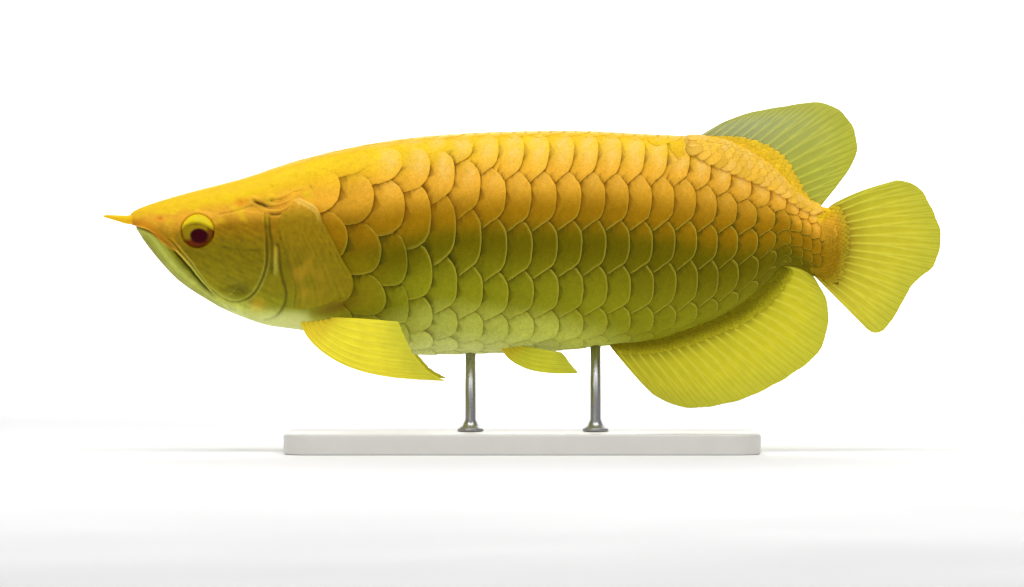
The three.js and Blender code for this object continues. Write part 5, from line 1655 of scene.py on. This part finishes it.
class AROWANA_OT_stage(bpy.types.Operator):
    """Sets the pale floor and backdrop, the soft studio lights and the camera."""
    bl_idname = "arowana.stage"
    bl_label = "Stage, lights and camera"

    def execute(self, context):
        self.floor(context.scene.arowana_stage)
        world = bpy.data.worlds.new("studio")
        world.use_nodes = True
        background = world.node_tree.nodes["Background"]
        background.inputs["Color"].default_value = (1, 1, 1, 1)
        background.inputs["Strength"].default_value = 0.4
        context.scene.world = world
        for name, settings in LIGHTS.items():
            self.softbox(context.scene, name, **settings)
        self.camera(context.scene)
        return {"FINISHED"}

    def floor(self, stage):
        """A floor that bends up into a backdrop by a quarter round."""
        turn = np.linspace(0, PI / 2, 24)
        radius, bend = FLOOR["radius"], FLOOR["bend"]
        curve = np.stack([bend + radius * np.sin(turn), radius - radius * np.cos(turn)], -1)
        front, top = [-FLOOR["reach"], 0], [bend + radius, FLOOR["top"]]
        y, z = np.concatenate([[front], curve, [top]]).T[..., None]
        width = np.array([-FLOOR["reach"], FLOOR["reach"]])
        grid = np.stack([width + 0 * y, y + 0 * width, z + 0 * width], -1)
        sweep = add_piece("floor_sweep", grid.reshape(-1, 3), grid_quads(len(y), 2)[:, ::-1])
        sweep.data.materials.append(plain_material("pale_floor", stage.floor, 0.8, scale=2.0))

    def softbox(self, scene, name, place, target, size, power):
        """A rectangular area light that faces its target."""
        data = bpy.data.lights.new(name, "AREA")
        data.shape = "RECTANGLE"
        data.size, data.size_y = size
        data.energy = power
        lamp = bpy.data.objects.new(name, data)
        lamp.location = place
        aim = Vector(target) - Vector(place)
        lamp.rotation_euler = aim.to_track_quat("-Z", "Y").to_euler()
        scene.collection.objects.link(lamp)

    def camera(self, scene):
        """A level camera square on to the left flank, at the photo's distance and middle."""
        stage = scene.arowana_stage
        camera = bpy.data.cameras.new("photo_view")
        camera.sensor_width = 36
        camera.lens = camera.sensor_width * stage.camera_distance / stage.frame_width
        camera.clip_end = 100
        view = bpy.data.objects.new("photo_view", camera)
        view.location = (PICTURE_MIDDLE[0], -stage.camera_distance, PICTURE_MIDDLE[1])
        view.rotation_euler = (PI / 2, 0, 0)
        scene.collection.objects.link(view)
        scene.camera = view
        scene.view_settings.view_transform = "Standard"


SETTINGS = (("arowana_body", ArowanaBodySettings), ("arowana_fins", ArowanaFinSettings),
            ("arowana_eyes", ArowanaEyeSettings), ("arowana_stage", ArowanaStageSettings))
OPERATORS = (AROWANA_OT_skin, AROWANA_OT_scales, AROWANA_OT_sheaths, AROWANA_OT_gill_covers,
             AROWANA_OT_eyes, AROWANA_OT_barbels, AROWANA_OT_median_fins, AROWANA_OT_paired_fins,
             AROWANA_OT_stand, AROWANA_OT_stage)


class AROWANA_PT_panel(bpy.types.Panel):
    """Lists the pieces of the model in the order in which they are made."""
    bl_idname = "AROWANA_PT_panel"
    bl_label = "Arowana"
    bl_space_type = "VIEW_3D"
    bl_region_type = "UI"
    bl_category = "Arowana"

    def draw(self, context):
        for operator in OPERATORS:
            self.layout.operator(operator.bl_idname)


def register():
    """Registers settings, operators and the panel."""
    for name, group in SETTINGS:
        bpy.utils.register_class(group)
        setattr(bpy.types.Scene, name, PointerProperty(type=group))
    for operator in OPERATORS:
        bpy.utils.register_class(operator)
    bpy.utils.register_class(AROWANA_PT_panel)


def unregister():
    """Takes away what register added."""
    bpy.utils.unregister_class(AROWANA_PT_panel)
    for operator in reversed(OPERATORS):
        bpy.utils.unregister_class(operator)
    for name, group in reversed(SETTINGS):
        delattr(bpy.types.Scene, name)
        bpy.utils.unregister_class(group)


def main():
    """Makes the whole model."""
    register()
    for step in ("skin", "scales", "sheaths", "gill_covers", "eyes", "barbels", "median_fins",
                 "paired_fins", "stand", "stage"):
        if getattr(bpy.ops.arowana, step)() != {"FINISHED"}:
            raise RuntimeError(f"{step} did not finish")


if __name__ == "__main__":
    main()
